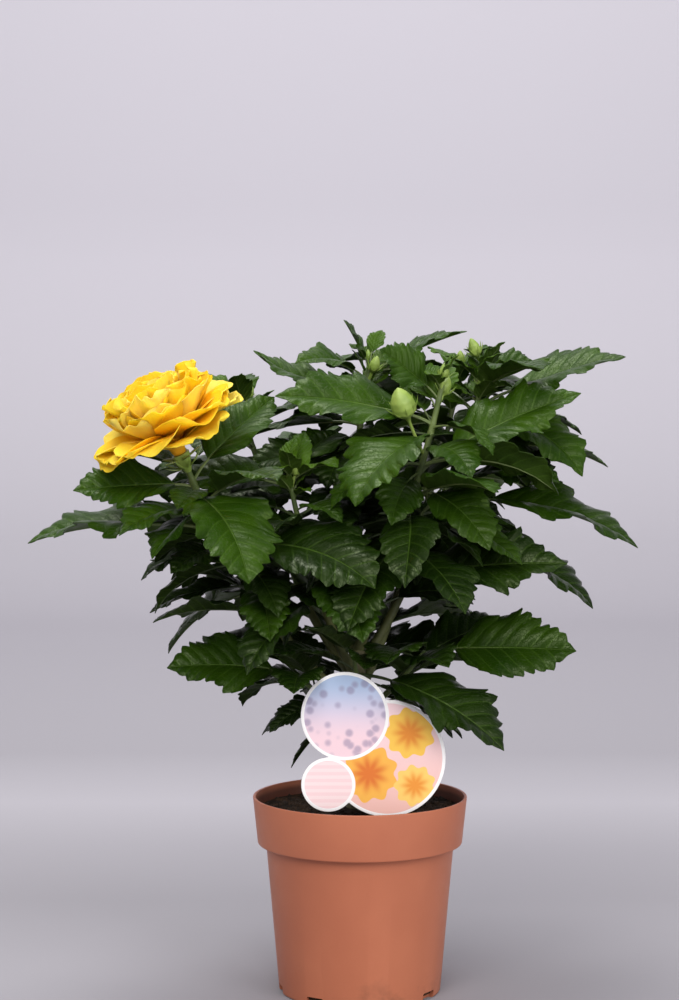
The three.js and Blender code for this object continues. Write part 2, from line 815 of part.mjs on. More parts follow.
// A petal: a thin curved sheet that leaves the throat at a bearing and a rise, with a ruffled outer edge.
function petalSheet(frame, { foot, bearing, rise, curl, length, width, ruffle, phase, sides }) {
  const steps = 4;
  const out = frame.side.clone().multiplyScalar(Math.cos(radians(bearing)));
  out.addScaledVector(frame.up, Math.sin(radians(bearing)));
  const across = frame.along.clone().cross(out);
  const stations = [];
  const place = raised(frame, foot).place;
  for (let i = 0; i <= steps; i++) {
    const pitch = radians(rise + (curl * i) / steps);
    const along = out.clone().multiplyScalar(Math.cos(pitch)).addScaledVector(frame.along, Math.sin(pitch));
    const up = out.clone().multiplyScalar(-Math.sin(pitch)).addScaledVector(frame.along, Math.cos(pitch));
    stations.push({ place: place.clone(), along, up });
    place.addScaledVector(along, length / steps);
  }
  const spread = [0.2, 0.66, 0.96, 1, 0.66];
  return sleeve(
    sides,
    steps,
    (i) => stations[i].place.clone(),
    (i, lateral, over) => {
      const { along, up } = stations[i];
      const half = (width / 2) * spread[i];
      const wave = ruffle * (i / steps) ** 2 * Math.sin(phase + 5 * lateral);
      const cup = BLOOM.cup * half * lateral ** 2;
      const face = Math.abs(over) > 0.01 ? (Math.sign(over) * BLOOM.thickness) / 2 : 0;
      return across
        .clone()
        .multiplyScalar(half * lateral)
        .addScaledVector(up, wave + cup + face)
        .addScaledVector(along, i === steps ? -BLOOM.tipRounding * length * lateral ** 2 : 0);
    },
  );
}

// The ruffled heart of the flower: a dome whose folds are the edges of the crowded inner petals.
function heart(frame, foot) {
  const { heartRadius, heartHeight, heartFolds, heartRuffle, heartOutline, throatRadius } = BLOOM;
  const steps = 5;
  const frameAt = (i) => raised(frame, foot + heartHeight * Math.sin((Math.PI / 2) * (i / steps)));
  return sleeve(
    2 * heartFolds,
    steps,
    (i) => frameAt(i).place,
    (i, across, over) => {
      const share = i / steps;
      const turn = Math.atan2(over, across);
      const swell = Math.sin(Math.PI * mix(...heartOutline, share)) ** 0.8;
      const fold = 1 + heartRuffle * Math.cos(heartFolds * turn + 2.4 * i) * (i % 2 ? 1 : 0.4);
      const radius = Math.max(throatRadius, heartRadius * swell) * fold;
      const lift = heartRuffle * 14 * share * Math.sin(3 * turn + i);
      return frame.side
        .clone()
        .multiplyScalar(across * radius)
        .addScaledVector(frame.up, over * radius)
        .addScaledVector(frame.along, lift);
    },
  );
}

function bloom(frame) {
  const roll = dice(BLOOM.seed);
  const foot = CALYX.length - 2 + GAP;
  const stations = [0, 0.5, 1].map((share) => raised(frame, foot + BLOOM.throatHeight * share));
  const throat = limb(stations, 8, (share) => mix(BLOOM.neckRadius, BLOOM.throatRadius, share));
  const petals = [];
  for (let k = 0; k < BLOOM.outerPetals; k++) {
    petals.push(
      petalSheet(frame, {
        foot: foot + 4,
        bearing: (360 / BLOOM.outerPetals) * k + mix(-8, 8, roll()),
        rise: mix(26, 36, roll()),
        curl: -44,
        length: BLOOM.outerLength * mix(0.94, 1.04, roll()),
        width: BLOOM.outerWidth,
        ruffle: 2.6,
        phase: 6 * roll(),
        sides: 6,
      }),
    );
  }
  for (let k = 0; k < BLOOM.innerPetals; k++) {
    petals.push(
      petalSheet(frame, {
        foot: foot + 6,
        bearing: (360 / BLOOM.innerPetals) * (k + 0.5) + mix(-10, 10, roll()),
        rise: mix(38, 48, roll()),
        curl: mix(10, 34, roll()),
        length: BLOOM.innerLength * mix(0.94, 1.06, roll()),
        width: BLOOM.innerWidth,
        ruffle: 3.2,
        phase: 6 * roll(),
        sides: 6,
      }),
    );
  }
  return mainBody(joined([throat, heart(frame, foot + BLOOM.throatHeight - 4), ...petals]));
}

// Growing the plant. Everything placed is remembered, so that each new piece keeps clear of it.

// A piece is judged whole against other nodes' pieces, and without its stalk against those of its own node,
// whose stalks may bunch where they leave the stem.

const standing = []; // { owner, axis, whole, blade }

function remember(owner, axis, whole, blade = whole) {
  standing.push({ owner, axis, whole, blade, box: whole.boundingBox() });
}

function boxesNear(a, b) {
  return [0, 1, 2].every((k) => a.min[k] - LEAF_CLEAR < b.max[k] && b.min[k] - LEAF_CLEAR < a.max[k]);
}

const apart = (a, b) => a.minGap(b, LEAF_CLEAR) >= LEAF_CLEAR * 0.99;

function isClear(owner, axis, { whole, blade }) {
  const box = whole.boundingBox();
  return standing.every((other) => {
    if (other.axis === axis || !boxesNear(box, other.box)) return true;
    if (other.owner !== owner) return apart(whole, other.whole);
    return apart(blade, other.whole) && apart(whole, other.blade);
  });
}

const plant = new THREE.Group();
plant.name = "hibiscus";

for (const [name, solid, material] of [
  ["pot", pot(), plastic],
  ["soil", soil(), peat],
  ["plant_label", label(), card],
  ["trunk", trunk(0), bark],
]) {
  plant.add(meshOf(name, solid, material));
  remember(name, name, solid);
}

// Each bough is cut clear of the trunk and of the boughs made before it.
const boughRoutes = {};
let cutters = trunk(GAP);
for (const [name, size] of Object.entries(BOUGHS)) {
  const line = boughRoute(size);
  const radiusAt = (share) => mix(size.radius, size.tip, share);
  const solid = mainBody(limb(line, 8, radiusAt).subtract(cutters));
  cutters = cutters.add(limb(line, 8, (share) => radiusAt(share) + GAP));
  boughRoutes[name] = line;
  plant.add(meshOf(name, solid, greenBark));
  remember(name, name, solid);
}

// A shoot's stem starts flat against its bough's tip, and a spray's stem against the trunk.
function stemRoute(shoot) {
  const tip = shoot.bough && boughRoutes[shoot.bough].at(-1);
  const start = tip ? tip.place.clone().addScaledVector(tip.along, GAP) : trunkAt(shoot.from);
  const line = route(
    start,
    shoot.length,
    STEM_STEPS,
    (share) => shoot.bearing + shoot.swing * share,
    (share) => shoot.rise + shoot.steepen * share,
  );
  if (tip) Object.assign(line[0], { along: tip.along, side: tip.side, up: tip.up });
  return line;
}

function twigRoute(shoot, line, j) {
  const bearing = shoot.bearing + (j % 2 ? -TWIG.spread : TWIG.spread);
  return route(
    stationAt(line, mix(TWIG.from, TWIG.to, j / 2)).place,
    TWIG.length,
    TWIG.steps,
    () => bearing,
    (share) => TWIG.rise + TWIG.steepen * share,
  );
}

// The stems and side twigs stand first, each with the plans of its leaves.
const growing = Object.entries(SHOOTS).map(([name, shoot]) => {
  const roll = dice(shoot.seed);
  const line = stemRoute(shoot);
  const stem = limb(line, 6, (share) => mix(shoot.radius, shoot.tip, share));
  const parts = [shoot.bough ? stem : mainBody(stem.subtract(trunk(GAP)))];
  remember(name, name, parts[0]);
  const leaves = leafPlan(shoot, shoot.leaves, shoot.firstLeaf, roll).map((plan, k) => ({
    plan,
    turned: k in shoot.turned,
    axis: name,
    root: stationAt(line, plan.at).place,
  }));
  for (let j = 0; j < shoot.twigs; j++) {
    const axis = `${name}_twig_${j}`;
    const twigLine = twigRoute(shoot, line, j);
    const twig = limb(twigLine, 5, (share) => mix(TWIG.radius, TWIG.tip, share));
    const plans = leafPlan({ ...shoot, blades: TWIG.blades, turned: {} }, TWIG.leaves, TWIG.firstLeaf, roll);
    for (const plan of plans) {
      leaves.push({ plan, turned: false, axis, root: stationAt(twigLine, plan.at).place });
    }
    parts.push(twig);
    remember(name, axis, twig);
  }
  return { name, shoot, line, parts, leaves, roll };
});

// The flower stands in its cup at the tip of the left shoot.
const flowering = growing.find(({ name }) => name === BLOOM.shoot);
const flowerFrame = bloomFrame(flowering.line.at(-1).place);
const cup = calyx(flowerFrame);
const bloomSolid = bloom(flowerFrame);
flowering.parts.push(cup);
remember(BLOOM.shoot, BLOOM.shoot, cup);
remember("bloom", "bloom", bloomSolid);
plant.add(meshOf("bloom", bloomSolid, petal));

function placeLeaves(turned) {
  for (const { name, parts, leaves } of growing) {
    for (const [k, one] of leaves.entries()) {
      if (one.turned !== turned) continue;
      const { bearing, rise, blade } = one.plan;
      let made = null;
      for (const [aside, lift, share] of TURNS) {
        const plan = { ...one.plan, bearing: bearing + aside, rise: rise + lift, blade: blade * share };
        const tried = leaf(plan, one.root);
        if (!isClear(name, one.axis, tried)) continue;
        made = tried;
        break;
      }
      if (!made) continue;
      parts.push(made.whole);
      remember(name, `${name}_leaf_${k}`, made.whole, made.blade);
    }
  }
}

function placeBuds() {
  for (const { name, shoot, line, parts, roll } of growing) {
    const buds = Array.from({ length: shoot.buds }, (_, j) => {
      const root = stationAt(line, mix(0.88, 1, j / Math.max(1, shoot.buds - 1))).place;
      const bearing = shoot.firstBearing + 60 + GOLDEN_ANGLE * j;
      return bud(BUD, root, bearing, mix(52, 78, roll()), mix(0.62, 1, roll()));
    });
    if (shoot.fatBud) {
      const { at, bearing, rise } = shoot.fatBud;
      buds.unshift(bud(FAT_BUD, stationAt(line, at).place, bearing, rise, 1));
    }
    for (const [j, made] of buds.entries()) {
      if (!isClear(name, name, made)) continue;
      parts.push(made.whole);
      remember(name, `${name}_bud_${j}`, made.whole, made.blade);
    }
  }
}

placeLeaves(true);
placeBuds();
placeLeaves(false);

for (const { name, parts } of growing) plant.add(meshOf(name, mainBody(joined(parts)), foliage));

export default plant;
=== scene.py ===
# %% [markdown]
# # A potted hibiscus
# The object is a young hibiscus shrub in a 13 cm plastic pot, with one open flower, buds, dark glossy
# leaves and a picture label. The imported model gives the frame: where each stem, leaf and pot wall stands.
# This script grows the same plant again by the same rule, with finer leaves, petals and bark, in metres,
# with Z up and the plant's front facing -Y.

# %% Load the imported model
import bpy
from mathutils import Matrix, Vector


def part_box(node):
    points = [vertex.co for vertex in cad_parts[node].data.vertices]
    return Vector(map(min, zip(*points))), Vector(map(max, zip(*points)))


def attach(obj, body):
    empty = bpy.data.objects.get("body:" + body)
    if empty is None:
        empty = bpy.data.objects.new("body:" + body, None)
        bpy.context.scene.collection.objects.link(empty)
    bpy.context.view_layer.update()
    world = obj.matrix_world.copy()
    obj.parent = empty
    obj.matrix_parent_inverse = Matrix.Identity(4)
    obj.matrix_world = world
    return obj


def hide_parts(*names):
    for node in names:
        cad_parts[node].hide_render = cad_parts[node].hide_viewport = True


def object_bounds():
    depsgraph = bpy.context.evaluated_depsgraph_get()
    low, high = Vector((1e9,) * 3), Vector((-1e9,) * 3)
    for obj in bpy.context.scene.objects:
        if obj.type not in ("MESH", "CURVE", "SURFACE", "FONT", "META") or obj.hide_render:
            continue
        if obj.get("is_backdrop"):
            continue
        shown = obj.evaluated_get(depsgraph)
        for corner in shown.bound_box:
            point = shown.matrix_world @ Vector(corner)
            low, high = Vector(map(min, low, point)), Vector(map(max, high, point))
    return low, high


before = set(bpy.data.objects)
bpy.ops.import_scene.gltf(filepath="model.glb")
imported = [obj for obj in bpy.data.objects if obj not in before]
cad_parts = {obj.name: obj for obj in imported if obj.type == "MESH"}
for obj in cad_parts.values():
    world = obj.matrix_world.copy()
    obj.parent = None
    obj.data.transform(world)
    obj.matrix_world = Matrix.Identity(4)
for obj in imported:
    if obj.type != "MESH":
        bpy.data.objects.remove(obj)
cad_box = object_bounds()
print("the packed model holds", len(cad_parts), "nodes")

# %% Tools and units
import math

import bpy
import bmesh
import numpy as np
from mathutils import Matrix, Vector, noise
from mathutils.bvhtree import BVHTree
from mathutils.kdtree import KDTree

scene = bpy.context.scene
MM = 0.001  # the growing rule works in millimetres, and a mesh is made in metres


def placed(name, data):
    """A new object of the scene, at the origin."""
    made = bpy.data.objects.new(name, data)
    scene.collection.objects.link(made)
    return made


def dress(piece, slot, *nodes):
    """A finished piece rides the plant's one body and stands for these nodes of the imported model."""
    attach(piece, "root")
    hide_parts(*nodes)


def smooth(mesh, sharp):
    """Smooth shading, with a sharp edge where two faces meet at more than this many degrees."""
    mesh.shade_smooth()
    mesh.set_sharp_from_angle(angle=math.radians(sharp))


def mix(a, b, share):
    return a + (b - a) * share


print("the crown is %.0f mm wide" % ((cad_box[1].x - cad_box[0].x) / MM))

# %% [markdown]
# ## The camera and the light
# The camera stands where the photograph was taken: about a metre and a half in front of the pot and a
# little above its rim, looking slightly down. Large soft lamps give the even light of a studio. A sweep, a
# floor that curves up into the wall behind, leaves no line at the horizon. Light and shade are painted on
# its paper: greyer on the floor, paler towards the wall and up it.

# %% The camera
PHOTO_HEIGHT = 1000  # pixels, the long side
FOCAL_PIXELS = 2495
LOOKS_DOWN = 3.9  # degrees
camera_data = bpy.data.cameras.new("camera")
camera_data.sensor_width = 36
camera_data.lens = 36 * FOCAL_PIXELS / PHOTO_HEIGHT
camera = placed("camera", camera_data)
camera.location = (-0.0124, -1.5, 0.401)
camera.rotation_euler = (math.radians(90 - LOOKS_DOWN), 0, 0)
scene.camera = camera
print("the lens is %.1f mm" % camera_data.lens)

# %% Wiring a material


def spaced(values):
    """Sockets given by name, with _ for a space."""
    return {key.replace("_", " "): value for key, value in values.items()}


class Wiring:
    """Puts nodes in a tree. Values given to a socket are set on it, and sockets given to it are linked."""

    def __init__(self, tree):
        self.tree = tree

    def node(self, kind, inputs=None, **settings):
        made = self.tree.nodes.new(kind)
        for key, value in settings.items():
            setattr(made, key, value)
        for key, value in (inputs or {}).items():
            self.give(made.inputs[key], value)
        return made

    def give(self, socket, value):
        if isinstance(value, bpy.types.NodeSocket):
            self.tree.links.new(value, socket)
        else:
            socket.default_value = value

    def calc(self, operation, *values, clamp=False):
        inputs = dict(enumerate(values))
        return self.node("ShaderNodeMath", inputs, operation=operation, use_clamp=clamp).outputs[0]

    def vector(self, operation, *values):
        return self.node("ShaderNodeVectorMath", dict(enumerate(values)), operation=operation).outputs

    def parts(self, vector):
        return self.node("ShaderNodeSeparateXYZ", {0: vector}).outputs

    def joined(self, **parts):
        return self.node("ShaderNodeCombineXYZ", parts).outputs[0]

    def on_object(self):
        return self.node("ShaderNodeTexCoord").outputs["Object"]

    def on_map(self, name):
        return self.node("ShaderNodeUVMap", uv_map=name).outputs[0]

    def ramp(self, value, low, high, to_low=0.0, to_high=1.0):
        """value taken smoothly from low..high to to_low..to_high."""
        inputs = {"Value": value, "From Min": low, "From Max": high, "To Min": to_low, "To Max": to_high}
        return self.node("ShaderNodeMapRange", inputs, interpolation_type="SMOOTHSTEP").outputs[0]

    def blend(self, share, a, b):
        return self.node("ShaderNodeMix", {0: share, 6: a, 7: b}, data_type="RGBA").outputs[2]

    def noise(self, vector, scale, detail=3.0):
        inputs = {"Vector": vector, "Scale": scale, "Detail": detail, "Roughness": 0.55}
        return self.node("ShaderNodeTexNoise", inputs).outputs["Fac"]

    def bump(self, height, distance, strength):
        inputs = {"Height": height, "Distance": distance, "Strength": strength}
        return self.node("ShaderNodeBump", inputs).outputs[0]

    def group(self, tree, **inputs):
        return self.node("ShaderNodeGroup", spaced(inputs), node_tree=tree).outputs


def finish(name, roughness=0.5, **plain):
    """A material's wiring and its Principled shader. `plain` sets constant sockets."""
    material = bpy.data.materials.new(name)
    material.use_nodes = True
    shader = material.node_tree.nodes["Principled BSDF"]
    shader.inputs["Roughness"].default_value = roughness
    for key, value in spaced(plain).items():
        shader.inputs[key].default_value = value
    return material, Wiring(material.node_tree), shader


def plug(wire, shader, **sockets):
    for key, socket in spaced(sockets).items():
        wire.give(shader.inputs[key], socket)


def colour(red, green, blue):
    """A colour given as it looks on a screen, 0 to 255, as the light that the shader needs."""
    channels = [value / 255 for value in (red, green, blue)]
    return (*[v / 12.92 if v <= 0.04045 else ((v + 0.055) / 1.055) ** 2.4 for v in channels], 1.0)


print("a leaf green is", [round(v, 3) for v in colour(60, 92, 30)[:3]])

# %% The studio sweep
SWEEP = {"half_width": 5.0, "front": -5.0, "bend_starts": 1.9, "bend_radius": 0.6, "height": 3.2}
# Painted light and shade on the paper: its brightness by how far back and up it is, in metres
PAPER_PAINTED_LIGHT = {0.0: 0.315, 0.24: 0.29, 0.42: 0.335, 0.6: 0.395, 0.85: 0.33, 1.6: 0.375, 2.3: 0.43, 3.0: 0.57}
PAPER_TINT = (1.0, 0.965, 1.05)


def studio_sweep():
    """The floor's line, its quarter turn and the wall's line, drawn out to both sides."""
    start, radius = SWEEP["bend_starts"], SWEEP["bend_radius"]
    line = [(SWEEP["front"], 0.0)]
    for turn in np.linspace(0, math.pi / 2, 17):
        line.append((start + radius * math.sin(turn), radius - radius * math.cos(turn)))
    line.append((start + radius, SWEEP["height"]))
    vertices = [(side * SWEEP["half_width"], y, z) for y, z in line for side in (-1, 1)]
    faces = [(2 * k, 2 * k + 1, 2 * k + 3, 2 * k + 2) for k in range(len(line) - 1)]
    mesh = bpy.data.meshes.new("studio_sweep")
    mesh.from_pydata(vertices, [], faces)
    mesh.shade_smooth()
    return placed("studio_sweep", mesh)


sweep = studio_sweep()
sweep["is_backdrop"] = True
paper, wire, shader = finish("studio_paper", 0.9, Specular_IOR_Level=0.1)
axes = wire.parts(wire.on_object())
# painted light and shade: the paper's colour is darker or paler by how far back and up it is
span = {"Value": wire.calc("ADD", axes["Y"], axes["Z"]), "From Min": 0.0, "From Max": max(PAPER_PAINTED_LIGHT)}
tone = wire.node("ShaderNodeValToRGB", {0: wire.node("ShaderNodeMapRange", span).outputs[0]})
stops = tone.color_ramp.elements
for k, (reach, brightness) in enumerate(PAPER_PAINTED_LIGHT.items()):
    share = reach / max(PAPER_PAINTED_LIGHT)
    stop = stops[k] if k < 2 else stops.new(share)
    stop.position = share
    stop.color = (*(brightness * tint for tint in PAPER_TINT), 1)
plug(wire, shader, Base_Color=tone.outputs[0])
sweep.data.materials.append(paper)
print("the sweep has", len(sweep.data.polygons), "faces")

# %% The lamps
LAMPS = {  # place, aim, size, power and colour
    "key_lamp": ((-0.4, -1.9, 1.7), (0, 0, 0.25), (1.7, 1.3), 39, (1.0, 0.985, 0.955)),
    "fill_lamp": ((1.4, -1.7, 1.0), (0, 0, 0.2), (1.3, 1.6), 27, (0.99, 0.985, 0.99)),
    "top_lamp": ((-0.3, 0.1, 2.0), (0, 0, 0.2), (0.9, 0.9), 22, (1.0, 0.99, 0.98)),
    "backdrop_lamp": ((0, 0.9, 2.5), (0, 2.5, 0.8), (2.6, 0.8), 40, (1.0, 0.99, 1.0)),
}
for name, (place, aim, size, power, tint) in LAMPS.items():
    lamp_data = bpy.data.lights.new(name, "AREA")
    lamp_data.shape = "RECTANGLE"
    lamp_data.size, lamp_data.size_y = size
    lamp_data.energy = power
    lamp_data.color = tint
    lamp = placed(name, lamp_data)
    lamp.location = place
    lamp.rotation_euler = (Vector(aim) - Vector(place)).to_track_quat("-Z", "Y").to_euler()
world = bpy.data.worlds.new("studio_air")
world.use_nodes = True
world.node_tree.nodes["Background"].inputs["Color"].default_value = (0.82, 0.81, 0.85, 1)
world.node_tree.nodes["Background"].inputs["Strength"].default_value = 0.42
scene.world = world
scene.view_settings.view_transform = "Standard"
print(len(LAMPS), "lamps and a pale world")

# %% [markdown]
# ## The growing rule
# A stem leaves its bough, its leaves stand at even steps, each turned a golden angle on from the last, and
# a leaf that would touch another turns aside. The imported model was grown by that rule, so the same rule
# with the same numbers grows the same plant here, and only the surfaces are finer. Each line that a limb or
# leaf follows is a route: a place, a direction, a level side and an upper side at every step.

# %% Numbers and routes
GOLDEN_ANGLE = 137.5


def dice(seed):
    """A repeatable run of numbers from 0 to 1."""
    state = seed

    def roll():
        nonlocal state
        state = (state * 1664525 + 1013904223) % 2**32
        return state / 2**32

    return roll


def drawn(spans, roll):
    """Each value as it is, or drawn from between the two that are given for it."""
    return {key: mix(*span, roll()) if isinstance(span, tuple) else span for key, span in spans.items()}


def heading(bearing, rise):
    """The direction at a bearing from +X towards +Y and a rise above level, both in degrees."""
    level = math.cos(math.radians(rise))
    turn = math.radians(bearing)
    return np.array([level * math.cos(turn), level * math.sin(turn), math.sin(math.radians(rise))])


def route(start, length, steps, bearing_at, rise_at):
    """Rows of place, along, side and up, one row of each for every station."""
    rows = []
    place = np.array(start, float)
    for i in range(steps + 1):
        share = i / steps
        along = heading(bearing_at(share), rise_at(share))
        side = heading(bearing_at(share) + 90, 0)
        rows.append((place.copy(), along, side, np.cross(along, side)))
        middle = share + 0.5 / steps
        place = place + heading(bearing_at(middle), rise_at(middle)) * length / steps
    return np.array(rows)


def stations(line, shares):
    """Place, along, side and up at any shares of the way along a route."""
    scaled = np.clip(np.atleast_1d(shares), 0, 1) * (len(line) - 1)
    low = np.minimum(scaled.astype(int), len(line) - 2)
    part = (scaled - low)[:, None, None]
    rows = line[low] * (1 - part) + line[low + 1] * part
    rows[:, 1:] /= np.linalg.norm(rows[:, 1:], axis=2, keepdims=True)
    return rows[:, 0], rows[:, 1], rows[:, 2], rows[:, 3]


def place_at(line, share):
    return stations(line, share)[0][0]


def reach_of(line):
    """How far a route's end is from its start."""
    return np.linalg.norm(line[-1, 0] - line[0, 0])


print("a golden angle is", GOLDEN_ANGLE, "degrees")

# %% The trunk and the boughs
SOIL_LEVEL = 111.5
GAP = 0.3  # between two limbs that meet
TRUNK = {
    "foot": np.array([1.0, 1.0, SOIL_LEVEL + GAP]),
    "fork": np.array([-2.0, 0.0, 208.0]),
    "radii": (6.2, 4.6),
    "flare": 2.8,
    "flare_height": 9,
    "knots": 7,
    "knot_swell": 0.06,
}
BOUGHS = {
    "front_bough": dict(start=206, bearing=-52, rise=58, steepen=8, length=38, radius=3.3, tip=2.9),
    "top_left_bough": dict(start=204, bearing=128, rise=74, steepen=10, length=58, radius=3.1, tip=2.5),
    "right_bough": dict(start=196, bearing=30, rise=48, steepen=16, length=62, radius=3, tip=2.5),
    "back_left_bough": dict(start=188, bearing=140, rise=40, steepen=16, length=66, radius=3, tip=2.4),
    "front_left_bough": dict(start=190, bearing=228, rise=50, steepen=14, length=56, radius=2.9, tip=2.3),
    "back_right_bough": dict(start=180, bearing=56, rise=46, steepen=14, length=74, radius=3, tip=2.4),
    "left_bough": dict(start=172, bearing=197, rise=36, steepen=26, length=98, radius=3.2, tip=2.4),
}


def trunk_share(height):
    return (height - TRUNK["foot"][2]) / (TRUNK["fork"][2] - TRUNK["foot"][2])


def trunk_at(height):
    return mix(TRUNK["foot"], TRUNK["fork"], trunk_share(height))


def trunk_radius(height):
    flare = TRUNK["flare"] * np.exp(-3 * (height - TRUNK["foot"][2]) / TRUNK["flare_height"])
    knot = 1 + TRUNK["knot_swell"] * np.cos(2 * np.pi * TRUNK["knots"] * trunk_share(height))
    return mix(*TRUNK["radii"], trunk_share(height)) * knot + flare


def bough_route(start, bearing, rise, steepen, length, **_):
    return route(trunk_at(start), length, 6, lambda s: bearing, lambda s: rise + steepen * s)


bough_routes = {name: bough_route(**size) for name, size in BOUGHS.items()}
print("the trunk forks", round(TRUNK["fork"][2] - SOIL_LEVEL), "mm up into", len(BOUGHS), "boughs")

# %% The shoots and sprays
SHOOT = dict(swing=0, steepen=12, radius=2.4, tip=1.3, leaves=11, first_leaf=0.06, blades=(82, 54))
SHOOT |= dict(twigs=1, buds=2)
SPRAY = SHOOT | dict(radius=1.9, tip=1.2, leaves=5, first_leaf=0.4, blades=(60, 66), twigs=0, buds=0)


def turn(bearing, rise, droop, blade, roll, **others):
    """A leaf that turns another way than the rule does."""
    return dict(bearing=bearing, rise=rise, droop=droop, blade=blade, roll=roll, **others)


SHOOTS = {
    "front_shoot": SHOOT
    | dict(bough="front_bough", seed=101, bearing=-36, swing=40, rise=66, length=136, radius=2.8, tip=1.5)
    | dict(leaves=12, first_bearing=344, buds=4, fat_bud=dict(at=0.68, bearing=230, rise=52))
    | {
        "turned": {
            0: turn(344, 10, 12, 86, 38, stalk=0.33, breadth=0.6),
            6: turn(12, 27, 10, 84, 34, at=0.6, stalk=0.3, breadth=0.58),
            8: turn(220, -14, 44, 70, 0, at=0.78, breadth=0.8, aside=70),
            9: turn(186, 14, 14, 80, -40, at=0.82, stalk=0.2, breadth=0.58),
            10: turn(196, 40, 10, 38, -64, at=0.93, breadth=0.8),
        },
    },
    "top_left_shoot": SHOOT
    | dict(bough="top_left_bough", seed=202, bearing=60, swing=-80, rise=84, steepen=-4, length=122)
    | dict(radius=2.5, leaves=12, first_bearing=250, buds=3)
    | {
        "turned": {
            5: turn(195, 9, 34, 52, -34, at=0.48),
            7: turn(167, -2, 20, 58, -6, at=0.68),
            8: turn(193, 2, -44, 58, -16, at=0.86),
            9: turn(180, 26, 10, 34, -20, at=0.9),
            10: turn(354, 27, 12, 52, 6, at=0.92),
            11: turn(204, 60, 6, 27, -30, at=0.96, breadth=0.8),
        },
    },
    "left_shoot": SHOOT
    | dict(bough="left_bough", seed=303, bearing=212, rise=50, steepen=16, length=88, tip=1.8)
    | dict(leaves=12, first_leaf=0.04, first_bearing=300, blades=(70, 60), twigs=0, buds=0)
    | {
        "turned": {
            0: turn(168, -8, 24, 52, -14, at=0.03),
            1: turn(286, -16, 36, 50, 12, at=0.06),
            2: turn(140, 2, 16, 58, -12, at=0.2),
            4: turn(336, 2, 38, 86, 28, at=0.36, breadth=0.7),
            5: turn(179, 3, 24, 90, -10, at=0.5),
            6: turn(130, -14, 30, 60, 30, at=0.64),
            9: turn(303, -18, 48, 74, 0, at=0.84, breadth=0.8, aside=-40),
            10: turn(200, 0, 6, 60, -40, at=0.86, stalk=0.2, breadth=0.7),
            11: turn(34, 42, 12, 60, 24, at=0.9),
        },
    },
    "right_shoot": SHOOT
    | dict(bough="right_bough", seed=404, bearing=26, swing=-20, rise=62, length=138)
    | dict(leaves=12, first_bearing=0)
    | {
        "turned": {
            0: turn(355, 3, 54, 88, 12, stalk=0.36),
            3: turn(353, -4, 32, 96, 16, at=0.38, stalk=0.32, breadth=0.56),
            5: turn(329, 20, 46, 62, 20, at=0.42, stalk=0.34),
            7: turn(359, 3, 34, 70, 8, at=0.62, stalk=0.36),
            9: turn(351, 20, 8, 74, 20, at=0.82, stalk=0.34),
        },
    },
    "back_right_shoot": SHOOT
    | dict(bough="back_right_bough", seed=505, bearing=40, swing=-10, rise=64, length=142, first_bearing=70)
    | {"turned": {6: turn(348, 12, 40, 74, 6, at=0.56), 9: turn(350, 42, 50, 46, 30, at=0.88)}},
    "back_left_shoot": SHOOT
    | dict(bough="back_left_bough", seed=606, bearing=134, swing=8, rise=60, length=126, first_bearing=170),
    "front_left_shoot": SHOOT
    | dict(bough="front_left_bough", seed=1111, bearing=218, swing=-30, rise=68, length=84, leaves=10)
    | dict(first_bearing=255, blades=(70, 50), twigs=0, buds=1)
    | {
        "turned": {
            0: turn(232, -10, 44, 62, 0),
            2: turn(300, -14, 44, 62, 12),
            8: turn(170, 10, 30, 60, -30),
        },
    },
    "low_left_spray": SPRAY
    | dict(start=162, seed=707, bearing=188, rise=34, length=48, leaves=6, first_leaf=0.35, first_bearing=180)
    | {
        "turned": {
            0: turn(179, -48, 10, 36, 0, at=0.3),
            1: turn(196, -17, 30, 32, -20, at=0.5),
            2: turn(153, 8, 70, 46, 0, at=0.7),
            3: turn(268, 16, 44, 50, 0, at=0.84),
            4: turn(200, 10, 16, 66, -40, at=0.95, breadth=0.72),
        },
    },
    "low_right_spray": SPRAY
    | dict(start=166, seed=808, bearing=353, rise=40, length=58, leaves=6, first_bearing=40)
    | {
        "turned": {
            1: turn(300, 34, 56, 54, 10, at=0.5),
            3: turn(34, 24, 16, 62, 16, at=0.72),
            5: turn(357, 0, 8, 74, 50, at=0.95, breadth=0.68),
        },
    },
    "low_front_spray": SPRAY
    | dict(start=178, seed=909, bearing=262, rise=52, length=36, radius=2, first_bearing=330)
    | {
        "turned": {
            1: turn(331, -13, 30, 84, 14, breadth=0.66),
            2: turn(205, 22, 30, 50, -8, at=0.62),
            3: turn(238, 30, 20, 46, 0, at=0.85),
        },
    },
    "low_back_spray": SPRAY
    | dict(start=168, seed=1010, bearing=92, rise=34, length=62, leaves=6, first_leaf=0.3, first_bearing=20)
    | dict(blades=(66, 76)),
}
TWIG = dict(start=0.3, spread=75, rise=30, steepen=18, length=42, radius=1.3, tip=0.9)
TWIG |= dict(leaves=4, first_leaf=0.35, blades=(60, 48))


def stem_route(shoot):
    """A shoot goes on from its bough's tip, and a spray leaves the trunk."""
    tip = bough_routes[shoot["bough"]][-1] if "bough" in shoot else None
    start = trunk_at(shoot["start"]) if tip is None else tip[0] + tip[1] * GAP
    bearing_at = lambda s: shoot["bearing"] + shoot["swing"] * s
    line = route(start, shoot["length"], 8, bearing_at, lambda s: shoot["rise"] + shoot["steepen"] * s)
    if tip is not None:
        line[0, 1:] = tip[1:]
    return line


def twig_route(shoot, stem):
    bearing = shoot["bearing"] + TWIG["spread"]
    rise_at = lambda s: TWIG["rise"] + TWIG["steepen"] * s
    return route(place_at(stem, TWIG["start"]), TWIG["length"], 4, lambda s: bearing, rise_at)


leaf_total = sum(shoot["leaves"] + shoot["twigs"] * TWIG["leaves"] for shoot in SHOOTS.values())
print(len(SHOOTS), "masses, with", leaf_total, "leaves planned")

